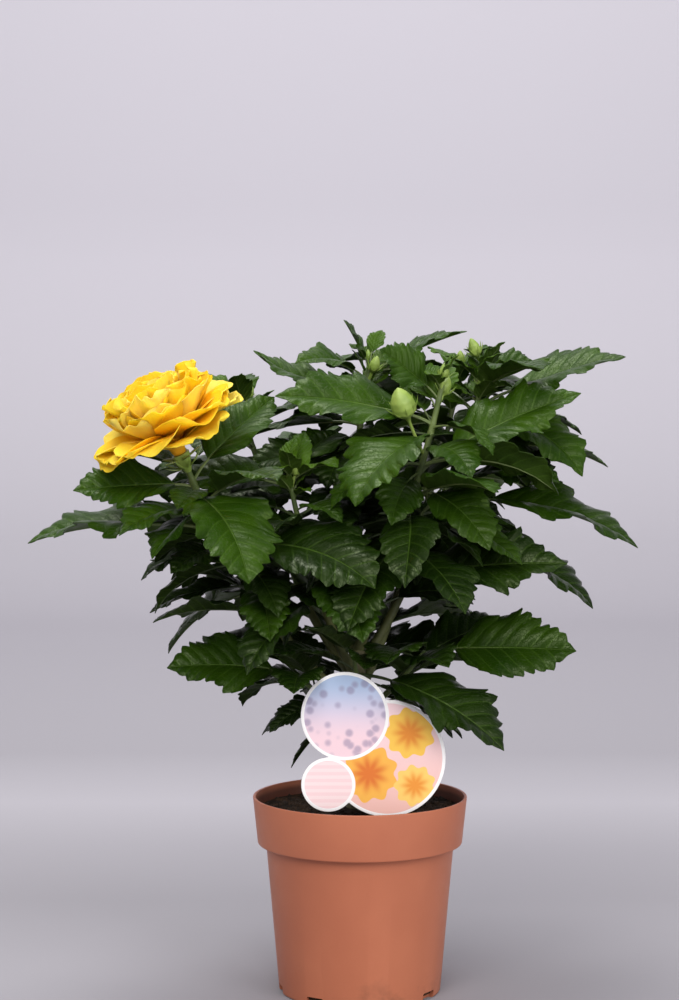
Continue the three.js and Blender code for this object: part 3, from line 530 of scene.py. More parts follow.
# %% The plan of each leaf
LEAF = {
    "petiole_lift": 18,
    "model_thickness": 1.25,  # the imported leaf's, which is thicker than a real one
    "widest": 0.34,
    "fold": 16,
    "sweep": 0.24,
    "ripple": 0.1,
    "fineness": 48,
    "last": 0.97,  # the share of a stem at which its last leaf stands
    "rises": (-10, 28),  # of the first leaf and of the last
}
# What the rule draws for a large leaf. Its stalk is in blade lengths.
LARGE_LEAF = dict(bearing=(-10, 10), rise=(-8, 8), droop=(26, 54), blade=(0.92, 1.06), roll=(-16, 16))
LARGE_LEAF |= dict(breadth=(0.6, 0.72), sway=(-14, 14), wave=(0, 2 * math.pi), stalk=0.28, aside=0)
# How a leaf without room tries to turn: degrees aside, degrees up, and its length as a share
TURNS = [(0, 0, 1), (8, 0, 1), (-8, 0, 1), (0, -8, 1), (0, 8, 1), (16, -4, 1), (-16, 4, 1)]
TURNS += [(16, 10, 0.94), (-16, -10, 0.94), (28, 0, 0.94), (-28, 0, 0.94), (0, -18, 0.88), (0, 18, 0.88)]
TURNS += [(40, -8, 0.82), (-40, 8, 0.82), (20, 20, 0.8), (-20, -20, 0.8)]


def leaf_plans(shoot, count, first, roll, blades, turned):
    """What the rule says of each leaf of a stem or twig: its place, turn, length and bend."""
    plans = []
    for k in range(count):
        share = k / (count - 1)
        plan = drawn(LARGE_LEAF, roll)
        plan["at"] = mix(first, LEAF["last"], share)
        plan["bearing"] += shoot["first_bearing"] + GOLDEN_ANGLE * k
        plan["rise"] += mix(*LEAF["rises"], share)
        plan["blade"] *= mix(*blades, share**1.6)
        plans.append(plan | turned.get(k, {}))
    return plans


def aside_turn(plan, aside, lift, share):
    turned = dict(bearing=plan["bearing"] + aside, rise=plan["rise"] + lift, blade=plan["blade"] * share)
    return plan | turned


def leaf_line(plan, root):
    """The route of a leaf's stalk and midrib, and the share of it where the blade opens."""
    stalk = plan["blade"] * plan["stalk"]
    opening = stalk / (stalk + plan["blade"])
    on_blade = lambda share: max(0.0, (share - opening) / (1 - opening))
    on_stalk = lambda share: max(0.0, 1 - share / opening)
    bearing_at = lambda s: plan["bearing"] + plan["sway"] * on_blade(s) + plan["aside"] * on_stalk(s)
    rise_at = lambda s: plan["rise"] + LEAF["petiole_lift"] * on_stalk(s) - plan["droop"] * on_blade(s) ** 1.3
    return route(root, stalk + plan["blade"], LEAF["fineness"], bearing_at, rise_at), opening


# %% [markdown]
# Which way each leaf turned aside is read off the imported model: a leaf stands where both corners of its tip
# are corners of the model. A leaf that found no room has no tip there, and isn't grown.

# %% The leaves that stand
TIP_MATCH = 0.2  # mm


def corners_of(node):
    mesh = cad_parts[node].data
    tree = KDTree(len(mesh.vertices))
    for vertex in mesh.vertices:
        tree.insert(vertex.co / MM, vertex.index)
    tree.balance()
    return tree


def tip_stands(corners, plan, root):
    place, _, side, up = leaf_line(plan, root)[0][-1]
    roll = math.radians(plan["roll"])
    upper = up * math.cos(roll) - side * math.sin(roll)
    tips = [place + upper * face * LEAF["model_thickness"] / 2 for face in (-1, 1)]
    return all(corners.find(Vector(tip))[2] < TIP_MATCH for tip in tips)


def grown_leaf(corners, plan, root):
    """The leaf as it turned aside, or None if it found no room."""
    tries = (aside_turn(plan, *aside) for aside in TURNS)
    return next((turned for turned in tries if tip_stands(corners, turned, root)), None)


masses = {}  # each with its limbs, (route, radius, tip radius), and its leaves, (plan, root)
for name, shoot in SHOOTS.items():
    roll = dice(shoot["seed"])
    stem = stem_route(shoot)
    turned = shoot.get("turned", {})
    plans = leaf_plans(shoot, shoot["leaves"], shoot["first_leaf"], roll, shoot["blades"], turned)
    planned = [(plan, place_at(stem, plan["at"])) for plan in plans]
    limbs = [(stem, shoot["radius"], shoot["tip"])]
    for _ in range(shoot["twigs"]):
        twig = twig_route(shoot, stem)
        plans = leaf_plans(shoot, TWIG["leaves"], TWIG["first_leaf"], roll, TWIG["blades"], {})
        planned += [(plan, place_at(twig, plan["at"])) for plan in plans]
        limbs.append((twig, TWIG["radius"], TWIG["tip"]))
    corners = corners_of(name)
    grown = [(grown_leaf(corners, plan, root), root) for plan, root in planned]
    leaves = [(plan, root) for plan, root in grown if plan]
    masses[name] = dict(shoot=shoot, stem=stem, limbs=limbs, leaves=leaves, roll=roll, corners=corners)
print(sum(len(mass["leaves"]) for mass in masses.values()), "leaves stand, and the others found no room")

# %% [markdown]
# ## Turning points into a mesh
# A leaf is a thin closed skin and a stem is a tube, and both are rings of points, one ring for each
# station. `Skin` gathers such grids into one mesh with its UV maps and its materials.

# %% A gatherer of skins


class Skin:
    """Grids of points, gathered into one mesh. `maps` names its UV maps."""

    def __init__(self, maps=()):
        self.points, self.quads, self.paints = [], [], []
        self.corner_uvs = {name: [] for name in maps}
        self.count = 0

    def add(self, points, quads, paint=0, uvs=None):
        """points, in rows of 3, in mm; quads (m, 4); paint, a slot for each quad; uvs, a map's (m, 4, 2)."""
        points = np.reshape(points, (-1, 3))
        self.points.append(points)
        self.quads.append(quads + self.count)
        self.paints.append(np.broadcast_to(paint, len(quads)))
        for name, corners in self.corner_uvs.items():
            corners.append(uvs[name] if uvs else np.zeros((len(quads), 4, 2)))
        self.count += len(points)

    def mesh(self, name, materials, sharp=50):
        points = np.concatenate(self.points) * MM
        quads = np.concatenate(self.quads)
        mesh = bpy.data.meshes.new(name)
        mesh.vertices.add(len(points))
        mesh.vertices.foreach_set("co", points.ravel())
        mesh.loops.add(quads.size)
        mesh.loops.foreach_set("vertex_index", quads.ravel())
        mesh.polygons.add(len(quads))
        mesh.polygons.foreach_set("loop_start", np.arange(0, quads.size, 4))
        for material in materials:
            mesh.materials.append(material)
        mesh.polygons.foreach_set("material_index", np.concatenate(self.paints).astype(np.int32))
        for key, corners in self.corner_uvs.items():
            layer = mesh.uv_layers.new(name=key)
            layer.uv.foreach_set("vector", np.concatenate(corners).astype(np.float32).ravel())
        mesh.update(calc_edges=True)
        smooth(mesh, sharp)
        return mesh

    def piece(self, name, materials, **how):
        return placed(name, self.mesh(name, materials, **how))


def tube_quads(rings, sides, outward=True):
    """The quads of a tube of rings, with its two ends closed. An even number of sides closes with quads."""
    i, j = np.meshgrid(np.arange(rings - 1), np.arange(sides), indexing="ij")
    here, beside = i * sides + j, i * sides + (j + 1) % sides
    wall = np.stack([here, beside, beside + sides, here + sides], -1).reshape(-1, 4)
    half = np.arange(sides // 2 - 1)
    cap = np.stack([half, half + 1, sides - 2 - half, sides - 1 - half], -1)
    quads = np.concatenate([wall, cap[:, ::-1], cap + (rings - 1) * sides])
    return quads if outward else quads[:, ::-1]


def ring_turns(sides):
    return 2 * np.pi * (np.arange(sides) + 0.5) / sides


def tube_points(line, shares, radius, sides):
    """A round limb's points along a route. radius is one number for each share, or one for each point."""
    place, _, side, up = stations(line, shares)
    turns = ring_turns(sides)
    out = side[:, None] * np.cos(turns)[None, :, None] + up[:, None] * np.sin(turns)[None, :, None]
    radius = np.asarray(radius, float)
    radius = radius[:, None] if radius.ndim == 1 else radius
    return place[:, None] + out * radius[..., None]


def tube_skin(*tubes):
    """Tubes of (rings, sides, 3) points as one skin."""
    skin = Skin()
    for points in tubes:
        skin.add(points, tube_quads(*points.shape[:2]))
    return skin


print("a tube of 3 rings and 6 sides has", len(tube_quads(3, 6)), "quads")

# %% [markdown]
# ## The leaves
# A hibiscus leaf is a broad pointed blade with a coarsely toothed edge. Its halves stand up a little from
# the midrib, its edge waves, and the tissue bulges between the side veins, which gives the broken shine
# that the photograph shows. The teeth point to the tip, and the stalk runs on under the blade as the
# midrib.

# %% The shape of a blade
BLADE = {
    "fullness": 0.5,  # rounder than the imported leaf's, inside the same length and width
    "fine": (10, 4, 11),  # teeth, stations to a tooth and columns of a large leaf
    "plain": (7, 3, 7),  # and of a small one
    "tooth_depth": 0.075,  # of the half width, give or take
    "tooth_wander": 0.95,  # how unlike each other the teeth are
    "lobes": 0.05,  # slow swelling of the outline, of the half width
    "edge_wave": 0.12,  # of the half width
    "smooth_to": 0.2,  # the share of the length up to which the edge has no teeth
    "toothed_from": 0.55,  # and from which the teeth are full
    "first_tooth": 0.1,
    "least_half": 0.3,  # mm, the half width at the two ends
    "thickness": 0.45,
    "edge_thickness": 0.28,
    "bulge": 0.85,  # mm that the tissue stands up between two side veins
    "bulge_blade": 80,  # mm, the length of the blade where it does
    "side_veins": 8,
    "vein_slope": 0.62,
    "edge_droop": 0.1,
}
TOOTH_PROFILE = np.array([0.0, 0.62, 1.0, 0.7])


def blade_shape(share):
    """Half width at a share of the length, as a share of the greatest half width."""
    share = np.clip(share, 1e-6, 1 - 1e-6)
    rise = BLADE["fullness"]
    fall = rise * (1 - LEAF["widest"]) / LEAF["widest"]
    return (share / LEAF["widest"]) ** rise * ((1 - share) / (1 - LEAF["widest"])) ** fall


def toothing(teeth, steps):
    """Shares along the blade and how far the edge stands out at each, from 0 in a notch to 1 at a tooth."""
    base = np.linspace(0, BLADE["first_tooth"], 4)[:-1]
    toothed = mix(BLADE["first_tooth"], 1.0, np.arange(teeth * steps + 1) / (teeth * steps))
    profile = np.interp(np.arange(steps) / (steps - 1), np.linspace(0, 1, 4), TOOTH_PROFILE)
    out = np.concatenate([np.full(3, 0.5), np.tile(profile, teeth), [0.0]])
    out[-steps:] *= 0.3
    return np.concatenate([base, toothed]), out


def blade_points(plan, root, teeth, steps, columns):
    """A blade's upper and lower points, (2, stations, columns, 3), and each point's place on the blade."""
    line, opening = leaf_line(plan, root)
    share, tooth = toothing(teeth, steps)
    place, along, side, up = (row[:, None] for row in stations(line, opening + (1 - opening) * share))
    share, tooth = share[:, None], tooth[:, None]
    roll = math.radians(plan["roll"]) * np.minimum(1, 0.5 + 2 * share)[..., None]
    level = side * np.cos(roll) + up * np.sin(roll)
    upper = up * np.cos(roll) - side * np.sin(roll)
    across = np.linspace(-1, 1, columns)
    out, left_right, wave = np.abs(across), np.sign(across), plan["wave"]
    whole = plan["blade"] * plan["breadth"] * blade_shape(share) / 2
    # the teeth of one edge are uneven, and unlike those of the other edge
    number = np.floor((share - BLADE["first_tooth"]) / (1 - BLADE["first_tooth"]) * teeth - 0.01)
    fullness = np.clip((share - BLADE["smooth_to"]) / (BLADE["toothed_from"] - BLADE["smooth_to"]), 0, 1)
    uneven = fullness * (1 + BLADE["tooth_wander"] * np.sin(2.7 * number + 5 * wave + 2 * left_right))
    toothed = 1 + BLADE["tooth_depth"] * uneven * (2 * tooth - 1) * out**5
    lobed = 1 + BLADE["lobes"] * (np.sin(15 * share + 2 * wave + 1.9 * left_right) - 0.6)
    half = np.maximum(whole * lobed * toothed, BLADE["least_half"])
    fold = math.radians(LEAF["fold"])
    lateral = across * half * math.cos(fold)
    # the two halves bend down a little again towards the edge
    lift = half * math.sin(fold) * (1.25 * out**0.85 - 0.25 * out**3) - BLADE["edge_droop"] * half * out**4
    lift = lift + LEAF["ripple"] * half * out**2 * np.sin(wave + left_right + 9 * share)
    edge_wave = np.sin(17 * share + 3 * wave + 1.3 * left_right) * np.clip(4 * share, 0, 1)
    lift = lift + BLADE["edge_wave"] * half * out**3 * edge_wave
    phase = BLADE["side_veins"] * (share - BLADE["vein_slope"] * np.abs(lateral) / plan["blade"])
    bulge = np.sqrt(np.abs(np.sin(np.pi * phase))) * np.sin(np.pi * np.clip(out, 0, 1)) ** 0.7
    fade = np.clip(8 * share * (1 - share), 0, 1)
    lift = lift + BLADE["bulge"] * bulge * fade * plan["blade"] / BLADE["bulge_blade"]
    forward = half * LEAF["sweep"] * out + whole * 0.1 * tooth * out**6
    middle = place + level * lateral[..., None] + upper * lift[..., None] + along * forward[..., None]
    thick = mix(BLADE["thickness"], BLADE["edge_thickness"], out**2)[None, :, None] / 2
    points = np.stack([middle + upper * thick, middle - upper * thick])
    return points, np.stack(np.broadcast_arrays(0.5 + lateral / plan["blade"], share), -1)


first_leaf = masses["left_shoot"]["leaves"][0][0]
print("a blade has", blade_points(first_leaf, np.zeros(3), *BLADE["fine"])[0].shape[1], "stations")

# %% [markdown]
# Each leaf gets its own square in the leaf piece's second UV map: its upper face on the left, its lower
# face on the right and its stalk along the bottom. The first map, "blade", says where on the blade a point
# is, for the veins.

# %% A sheet in a skin


def grid_quads(rows, columns):
    i, j = np.meshgrid(np.arange(rows - 1), np.arange(columns - 1), indexing="ij")
    a = (i * columns + j).ravel()
    return np.stack([a, a + columns, a + columns + 1, a + 1], -1)


def sheet_quads(rows, columns):
    """A closed sheet's quads: upper points first, then lower. Also which of them are on the lower face."""
    low = rows * columns
    upper = grid_quads(rows, columns)
    k = np.arange(rows - 1) * columns
    left = np.stack([k, k + low, k + columns + low, k + columns], -1)
    m = k + columns - 1
    right = np.stack([m, m + columns, m + columns + low, m + low], -1)
    j = np.arange(columns - 1)
    foot = np.stack([j, j + 1, j + 1 + low, j + low], -1)
    tip = foot[:, ::-1] + (rows - 1) * columns
    quads = np.concatenate([upper, upper[:, ::-1] + low, left, right, foot, tip])
    face = np.arange(len(quads)) // len(upper)
    return quads, (face == 1).astype(int)


def own_square(x, y, cell, cells):
    """Places of 0 to 1 inside a shape's own square of the map."""
    return (np.array([cell % cells, cell // cells]) + np.stack([x, y], -1)) / cells


def add_sheet(skin, sheet, paints, cell, cells, foot=0.02):
    """A thin closed sheet: its points, and their places in the skin's first map."""
    points, spots = sheet
    rows, columns = points.shape[1:3]
    quads, side = sheet_quads(rows, columns)
    both = np.tile(spots.reshape(-1, 2), (2, 1))
    # the rim's corners all take the upper face's place, so the rim is painted as the edge is
    place = both[np.where(side[:, None] == 0, quads % (rows * columns), quads)]
    x = 0.02 + 0.47 * place[..., 0] + 0.49 * side[:, None]
    atlas = own_square(x, foot + (0.98 - foot) * place[..., 1], cell, cells)
    first_map = next(iter(skin.corner_uvs))
    skin.add(points, quads, np.where(side == 0, *paints), {first_map: both[quads], "OFBake": atlas})


fine_rows = len(toothing(*BLADE["fine"][:2])[0])
print("a fine blade has", 2 * len(sheet_quads(fine_rows, BLADE["fine"][2])[0]), "triangles")

# %% A leaf in a skin
STALK_SIDES = 6
STALK = {
    "foot_radius": 1.5,
    "radii": (1.05, 0.85),  # mm, on a leaf of the size below, from its root to its blade
    "midrib_radii": (0.8, 0.16),
    "leaf": 62,
    "midrib_ends": 0.93,
    "sunk": 0.45,  # of its radius, how far the midrib lies under the blade
}


def add_leaf(skin, plan, root, paints, cell, cells, fine=True):
    """paints are the slots of the upper face, the lower face and the stalk; cell is its square of the map."""
    sheet = blade_points(plan, root, *BLADE["fine" if fine else "plain"])
    add_sheet(skin, sheet, paints[:2], cell, cells, 0.12)
    line, opening = leaf_line(plan, root)
    on_stalk = np.linspace(0, opening, 6 if fine else 4)
    on_blade = np.linspace(opening, mix(opening, 1, STALK["midrib_ends"]), 12 if fine else 6)[1:]
    shares = np.concatenate([on_stalk, on_blade])
    run = np.clip((shares - opening) / (1 - opening), 0, 1)
    midrib = mix(*STALK["midrib_radii"], run**0.7)
    radius = np.where(shares < opening, mix(*STALK["radii"], shares / opening), midrib)
    radius[0] = STALK["foot_radius"]
    radius = radius * np.clip(plan["blade"] / STALK["leaf"], 0.6, 1.1)
    up = stations(line, shares)[3]
    sunk = up[:, None] * (radius * STALK["sunk"] * (run > 0))[:, None, None]
    quads = tube_quads(len(shares), STALK_SIDES)
    ring, corner = np.divmod(quads, STALK_SIDES)
    x, y = 0.02 + 0.96 * shares[ring], 0.02 + 0.07 * (corner + 0.5) / STALK_SIDES
    spot = np.stack([np.full(ring.shape, 0.5), run[ring]], -1)
    uvs = {"blade": spot, "OFBake": own_square(x, y, cell, cells)}
    skin.add(tube_points(line, shares, radius, STALK_SIDES) - sunk, quads, paints[2], uvs)


print("its stalk has", 2 * len(tube_quads(17, STALK_SIDES)), "triangles")

# %% [markdown]
# ## Shared effects
# Several finishes share an effect: the veins of a leaf, or the mottling of a natural colour. Each effect is
# a node group with named inputs, built once and placed in each material with its own values. A group gives
# colours, masks and heights only, and the shader itself stays in the material.

# %% The veins of a leaf
SOCKETS = {
    "vector": "NodeSocketVector",
    "number": "NodeSocketFloat",
    "whole": "NodeSocketInt",
    "colour": "NodeSocketColor",
    "shape": "NodeSocketGeometry",
    "object": "NodeSocketObject",
    "finish": "NodeSocketMaterial",
}


def new_group(name, inputs, outputs, kind="ShaderNodeTree"):
    """A new group with sockets of these kinds: its tree, its wiring, what it is given and its result."""
    tree = bpy.data.node_groups.new(name, kind)
    for in_out, sockets in (("INPUT", inputs), ("OUTPUT", outputs)):
        for socket_kind, keys in sockets.items():
            for key in keys:
                tree.interface.new_socket(key, in_out=in_out, socket_type=SOCKETS[socket_kind])
    wire = Wiring(tree)
    return tree, wire, wire.node("NodeGroupInput").outputs, wire.node("NodeGroupOutput")


vein_inputs = {"vector": ["Spot"], "number": ["Side veins", "Slope"]}
vein_outputs = {"number": ["Midrib", "Veins", "Height"]}
leaf_veins, draw, given, result = new_group("leaf_veins", vein_inputs, vein_outputs)
spot = draw.parts(given["Spot"])
away = draw.calc("ABSOLUTE", draw.calc("SUBTRACT", spot["X"], 0.5))
rib_width = draw.calc("MULTIPLY_ADD", spot["Y"], -0.009, 0.012)
midrib = draw.calc("SUBTRACT", 1.0, draw.ramp(draw.calc("DIVIDE", away, rib_width), 0.35, 1.3))
leant = draw.calc("SUBTRACT", spot["Y"], draw.calc("MULTIPLY", away, given["Slope"]))
off_vein = draw.calc("PINGPONG", draw.calc("MULTIPLY", leant, given["Side veins"]), 0.5)
vein_width = draw.calc("MULTIPLY_ADD", away, -0.22, 0.1)
veins = draw.calc("SUBTRACT", 1.0, draw.ramp(draw.calc("DIVIDE", off_vein, vein_width), 0.2, 1.0))
net_inputs = {"Vector": given["Spot"], "Scale": 34.0}
net = draw.node("ShaderNodeTexVoronoi", net_inputs, feature="DISTANCE_TO_EDGE").outputs["Distance"]
tissue = draw.calc("MULTIPLY_ADD", draw.ramp(net, 0.0, 0.07), 0.3, draw.ramp(off_vein, 0.0, 0.4, 0.0, 0.7))
height = draw.calc("SUBTRACT", tissue, draw.calc("MULTIPLY", midrib, 0.8))
plug(draw, result, Midrib=midrib, Veins=veins, Height=height)
print("leaf_veins holds", len(leaf_veins.nodes), "nodes")

# %% [markdown]
# Mottling is what keeps a natural colour from looking like paint: a slow change over the surface between
# two near tones, and a fine grain on top.

# %% Mottling
mottling, draw, given, result = new_group(
    "mottling",
    {"colour": ["Light tone", "Dark tone"], "number": ["Broad scale", "Fine scale", "Fine share"]},
    {"colour": ["Colour"], "number": ["Grain"]},
)
where = draw.on_object()
broad = draw.ramp(draw.noise(where, given["Broad scale"]), 0.3, 0.7)
grain = draw.noise(where, given["Fine scale"], 4.0)
share = draw.calc("MULTIPLY_ADD", draw.calc("SUBTRACT", grain, 0.5), given["Fine share"], broad, clamp=True)
plug(draw, result, Colour=draw.blend(share, given["Dark tone"], given["Light tone"]), Grain=grain)


def mottled(wire, light, dark, broad, fine, fine_share=0.3):
    tones = dict(Light_tone=colour(*light), Dark_tone=colour(*dark))
    return wire.group(mottling, **tones, Broad_scale=broad, Fine_scale=fine, Fine_share=fine_share)


def mottled_finish(name, light, dark, roughness, scales=(60.0, 1200.0), bump=(0.0003, 0.5), **mottle):
    """A mottled material whose grain also stands out a little."""
    material, wire, shader = finish(name, roughness)
    body = mottled(wire, light, dark, *scales, **mottle)
    plug(wire, shader, Base_Color=body["Colour"], Normal=wire.bump(body["Grain"], *bump))
    return material


print("mottling holds", len(mottling.nodes), "nodes")

# %% Leaf finishes
VEIN_TONE = colour(82, 112, 40)
LEAF_SHEEN = (0.86, 1.0, 0.6, 1)
LEAF_TONES = {  # light tone, dark tone, roughness, how far the veins show, gloss
    "leaf_upper_deep": ((28, 48, 5), (17, 34, 4), 0.3, 0.2, 0.28),
    "leaf_upper_mid": ((38, 62, 5), (25, 48, 4), 0.3, 0.22, 0.26),
    "leaf_upper_fresh": ((45, 72, 6), (31, 57, 5), 0.32, 0.24, 0.22),
    "leaf_under_deep": ((44, 62, 20), (32, 48, 13), 0.5, 0.3, 0.25),
    "leaf_under_fresh": ((62, 86, 24), (46, 70, 17), 0.5, 0.3, 0.25),
    "leaf_upper_young": ((66, 96, 14), (48, 78, 10), 0.34, 0.24, 0.22),
}


def leaf_finish(name, light, dark, roughness, vein_show, gloss):
    material, wire, shader = finish(name, roughness, Specular_IOR_Level=gloss, Specular_Tint=LEAF_SHEEN)
    ribs = dict(Side_veins=BLADE["side_veins"], Slope=BLADE["vein_slope"])
    lines = wire.group(leaf_veins, Spot=wire.on_map("blade"), **ribs)
    body = mottled(wire, light, dark, 30.0, 900.0)
    midrib = wire.calc("MULTIPLY", lines["Midrib"], 0.5)
    shown = wire.calc("MAXIMUM", wire.calc("MULTIPLY", lines["Veins"], vein_show), midrib)
    sheen = wire.calc("MULTIPLY_ADD", body["Grain"], 0.16, roughness - 0.08)
    tone = wire.blend(shown, body["Colour"], VEIN_TONE)
    plug(wire, shader, Base_Color=tone, Roughness=sheen, Normal=wire.bump(lines["Height"], 0.0006, 0.7))
    return material


LEAF_FINISHES = {name: leaf_finish(name, *look) for name, look in LEAF_TONES.items()}
LEAF_FINISHES["stalk_green"] = mottled_finish("stalk_green", (112, 128, 72), (84, 100, 52), 0.5)
LEAF_FINISHES["stalk_deep"] = mottled_finish("stalk_deep", (72, 88, 46), (48, 62, 30), 0.5)
slot_of = {name: slot for slot, name in enumerate(LEAF_FINISHES)}
print(len(LEAF_FINISHES), "leaf finishes")

# %% [markdown]
# ## Filling the crown
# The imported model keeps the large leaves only. On the real plant small leaves stand between them and make
# its middle dark, and a tuft of young ones unfolds at each tip. They are grown by the same rule on the same
# stems: a golden angle between neighbours, and a leaf that would touch another turns aside or isn't grown.
# None reaches outside the mass that it belongs to, and none stands where the photograph shows the backdrop
# through the crown.

# %% Room for a small leaf
SMALL = {
    "step": 4.5,  # mm of stem to a leaf
    "rises": (-34, 8),  # degrees, of the first leaf and of the last
    "spray_lift": 34,  # degrees that the leaves of a low spray stand higher
    "keep_in": 2.0,  # mm inside its mass's box
    "clear": 0.4,  # mm between two boxes that don't touch
    "coarse": (5, 2, 5),  # teeth, stations and columns of the blade that is tested
    "seed": 77,
}
SMALL_LEAF = dict(bearing=(-20, 20), rise=(-14, 14), droop=(24, 60), blade=(36, 72), roll=(-30, 30))
SMALL_LEAF |= dict(breadth=(0.6, 0.76), sway=(-18, 18), wave=(0, 2 * math.pi), stalk=(0.26, 0.4), aside=0)
# Where the crown is open: middle and radius, in the plane of the photograph, in millimetres
OPENINGS = [(-69, 327, 8), (-56, 328, 8), (-54, 350, 8), (-40, 347, 8), (82, 303, 8), (70, 218, 4)]
OPENINGS += [(-68, 166, 13), (-92, 224, 9)]
# What shows whole in the photograph: middle and radius there, and how far forward it stands
IN_SIGHT = [(24, 359, 13, -40), (45, 357, 11, -35), (8, 384, 11, 0), (72, 370, 10, 0)]


def inner_box(node, inset=0):
    low, high = (np.array(corner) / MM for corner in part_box(node))
    return low + inset, high - inset


def box_of(points, grow=0.0):
    return points.min(0) - grow, points.max(0) + grow


def space_of(points, faces):
    """What a leaf or a limb takes up: its points, and a tree of its faces for the touch test."""
    return points, BVHTree.FromPolygons(points.tolist(), faces)


def coarse_blade(plan, root):
    upper = blade_points(plan, root, *SMALL["coarse"])[0][0]
    return space_of(upper.reshape(-1, 3), grid_quads(*upper.shape[:2]).tolist())


def coarse_limb(line, radius, tip):
    shares = np.linspace(0, 1, 7)
    points = tube_points(line, shares, mix(radius, tip, shares), 6).reshape(-1, 3)
    return space_of(points, tube_quads(7, 6).tolist())


def touches(points, tree, others):
    low, high = box_of(points, SMALL["clear"])
    near = (other for box, other in others if (low < box[1]).all() and (box[0] < high).all())
    return any(tree.overlap(other) for other in near)


def off(points, x, z):
    """How far points are from a spot in the plane of the photograph."""
    return np.hypot(points[:, 0] - x, points[:, 2] - z)


label_low, label_high = inner_box("plant_label", -4)  # its box and 4 mm all round


def hides_something(points):
    """Whether a leaf would stand in an opening, or in front of the picture label or a large bud."""
    across = (points[:, 0] > label_low[0]) & (points[:, 0] < label_high[0])
    upright = (points[:, 2] > SOIL_LEVEL) & (points[:, 2] < label_high[2])
    hidden = (across & upright & (points[:, 1] < label_high[1] - 1)).any()
    hidden |= any((off(points, x, z) < radius).any() for x, z, radius in OPENINGS)
    for x, z, radius, forward in IN_SIGHT:
        hidden |= ((off(points, x, z) < radius) & (points[:, 1] < forward + radius)).any()
    return hidden


def boxed(points, tree):
    return box_of(points), tree


leaves_taken = [boxed(*coarse_blade(plan, root)) for mass in masses.values() for plan, root in mass["leaves"]]
limbs_taken = [boxed(*coarse_limb(*limb)) for mass in masses.values() for limb in mass["limbs"]]
for name, line in bough_routes.items():
    limbs_taken.append(boxed(*coarse_limb(line, BOUGHS[name]["radius"], BOUGHS[name]["tip"])))
for node in ("bloom", "plant_label", "pot", "trunk"):
    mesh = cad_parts[node].data
    points = np.array([vertex.co / MM for vertex in mesh.vertices])
    limbs_taken.append(boxed(*space_of(points, [list(face.vertices) for face in mesh.polygons])))
print(len(leaves_taken), "leaves and", len(limbs_taken), "limbs and other parts to keep clear of")

# %% Growing the small leaves
YOUNG = {"count": 15, "from": 0.8}
YOUNG_LEAF = dict(blade=(13, 32), rise=(26, 74), young=True)
NEAR_STEM = 10  # the tested points of a blade that may touch its own stem


def small_plan(share, k, bearing, roll, lift=0.0):
    plan = drawn(SMALL_LEAF, roll)
    plan["bearing"] += bearing + GOLDEN_ANGLE * k
    plan["rise"] += mix(*SMALL["rises"], share) + lift
    return plan


def first_room(plan, root, low, high):
    """The leaf at the first turn aside where it touches nothing, which it then takes up, or no leaf."""
    for aside in TURNS:
        turned = aside_turn(plan, *aside)
        points, tree = coarse_blade(turned, root)
        if (points < low).any() or (points > high).any() or hides_something(points):
            continue
        if not touches(points, tree, leaves_taken) and not touches(points[NEAR_STEM:], tree, limbs_taken):
            leaves_taken.append(boxed(points, tree))
            return [(turned, root)]
    return []


def grow_small(name, mass):
    """Adds small leaves along the limbs of a mass, and along its bough's outer part."""
    shoot = mass["shoot"]
    roll = dice(SMALL["seed"] + shoot["seed"])
    box = inner_box(name, SMALL["keep_in"])
    limbs = [(line, 0.04, 0.96) for line, _, _ in mass["limbs"]]
    if "bough" in shoot:
        limbs.append((bough_routes[shoot["bough"]], 0.25, 0.98))
    lift = 0 if "bough" in shoot else SMALL["spray_lift"]
    small = []
    for line, first, last in limbs:
        length = np.linalg.norm(np.diff(line[:, 0], axis=0), axis=1).sum() * (last - first)
        count = int(length / SMALL["step"])
        for k in range(count):
            share = mix(first, last, (k + 0.5) / count)
            plan = small_plan(share, k, shoot["first_bearing"] + 200, roll, lift)
            small += first_room(plan, place_at(line, share), *box)
    return small


def grow_young(name, mass):
    """A tuft of unfolding leaves round the tip of a shoot."""
    shoot = mass["shoot"]
    roll = dice(SMALL["seed"] + shoot["seed"] + 5)
    box = inner_box(name)
    tuft = []
    for k, share in enumerate(np.linspace(YOUNG["from"], 1, YOUNG["count"])):
        plan = small_plan(share, k, shoot["first_bearing"] + 40, roll) | drawn(YOUNG_LEAF, roll)
        tuft += first_room(plan, place_at(mass["stem"], share), *box)
    return tuft


for name, mass in masses.items():
    mass["small"] = grow_young(name, mass) if mass["shoot"]["buds"] else []
    print(name, "has", len(mass["small"]), "young leaves")
    mass["small"] += grow_small(name, mass)
print(sum(len(mass["small"]) for mass in masses.values()), "small leaves found room")

# %% The leaf pieces
LEAF_PIECES = {
    "leaves_front": ("front_shoot", "low_front_spray"),
    "leaves_left": ("left_shoot", "front_left_shoot", "low_left_spray"),
    "leaves_right": ("right_shoot", "low_right_spray"),
    "leaves_top": ("top_left_shoot",),
    "leaves_back": ("back_left_shoot", "back_right_shoot", "low_back_spray"),
}
GREENS = {  # the finishes of the upper face, the lower face and the stalk
    "young": ("leaf_upper_young", "leaf_under_fresh", "stalk_green"),
    "fresh": ("leaf_upper_fresh", "leaf_under_fresh", "stalk_green"),
    "mid": ("leaf_upper_mid", "leaf_under_fresh", "stalk_green"),
    "deep": ("leaf_upper_deep", "leaf_under_deep", "stalk_deep"),
}
FRESH_FROM, MID_FROM = 1.0, 0.66  # how far out in the crown, where 1 is its usual reach
HIGH_COUNTS, SMALL_TAKES, CHANCE = 0.35, 0.25, 0.22  # what height, a small leaf and chance change
CROWN_MIDDLE = np.array([5.0, 10.0, 262.0])
CROWN_REACH = np.array([150.0, 110.0, 130.0])


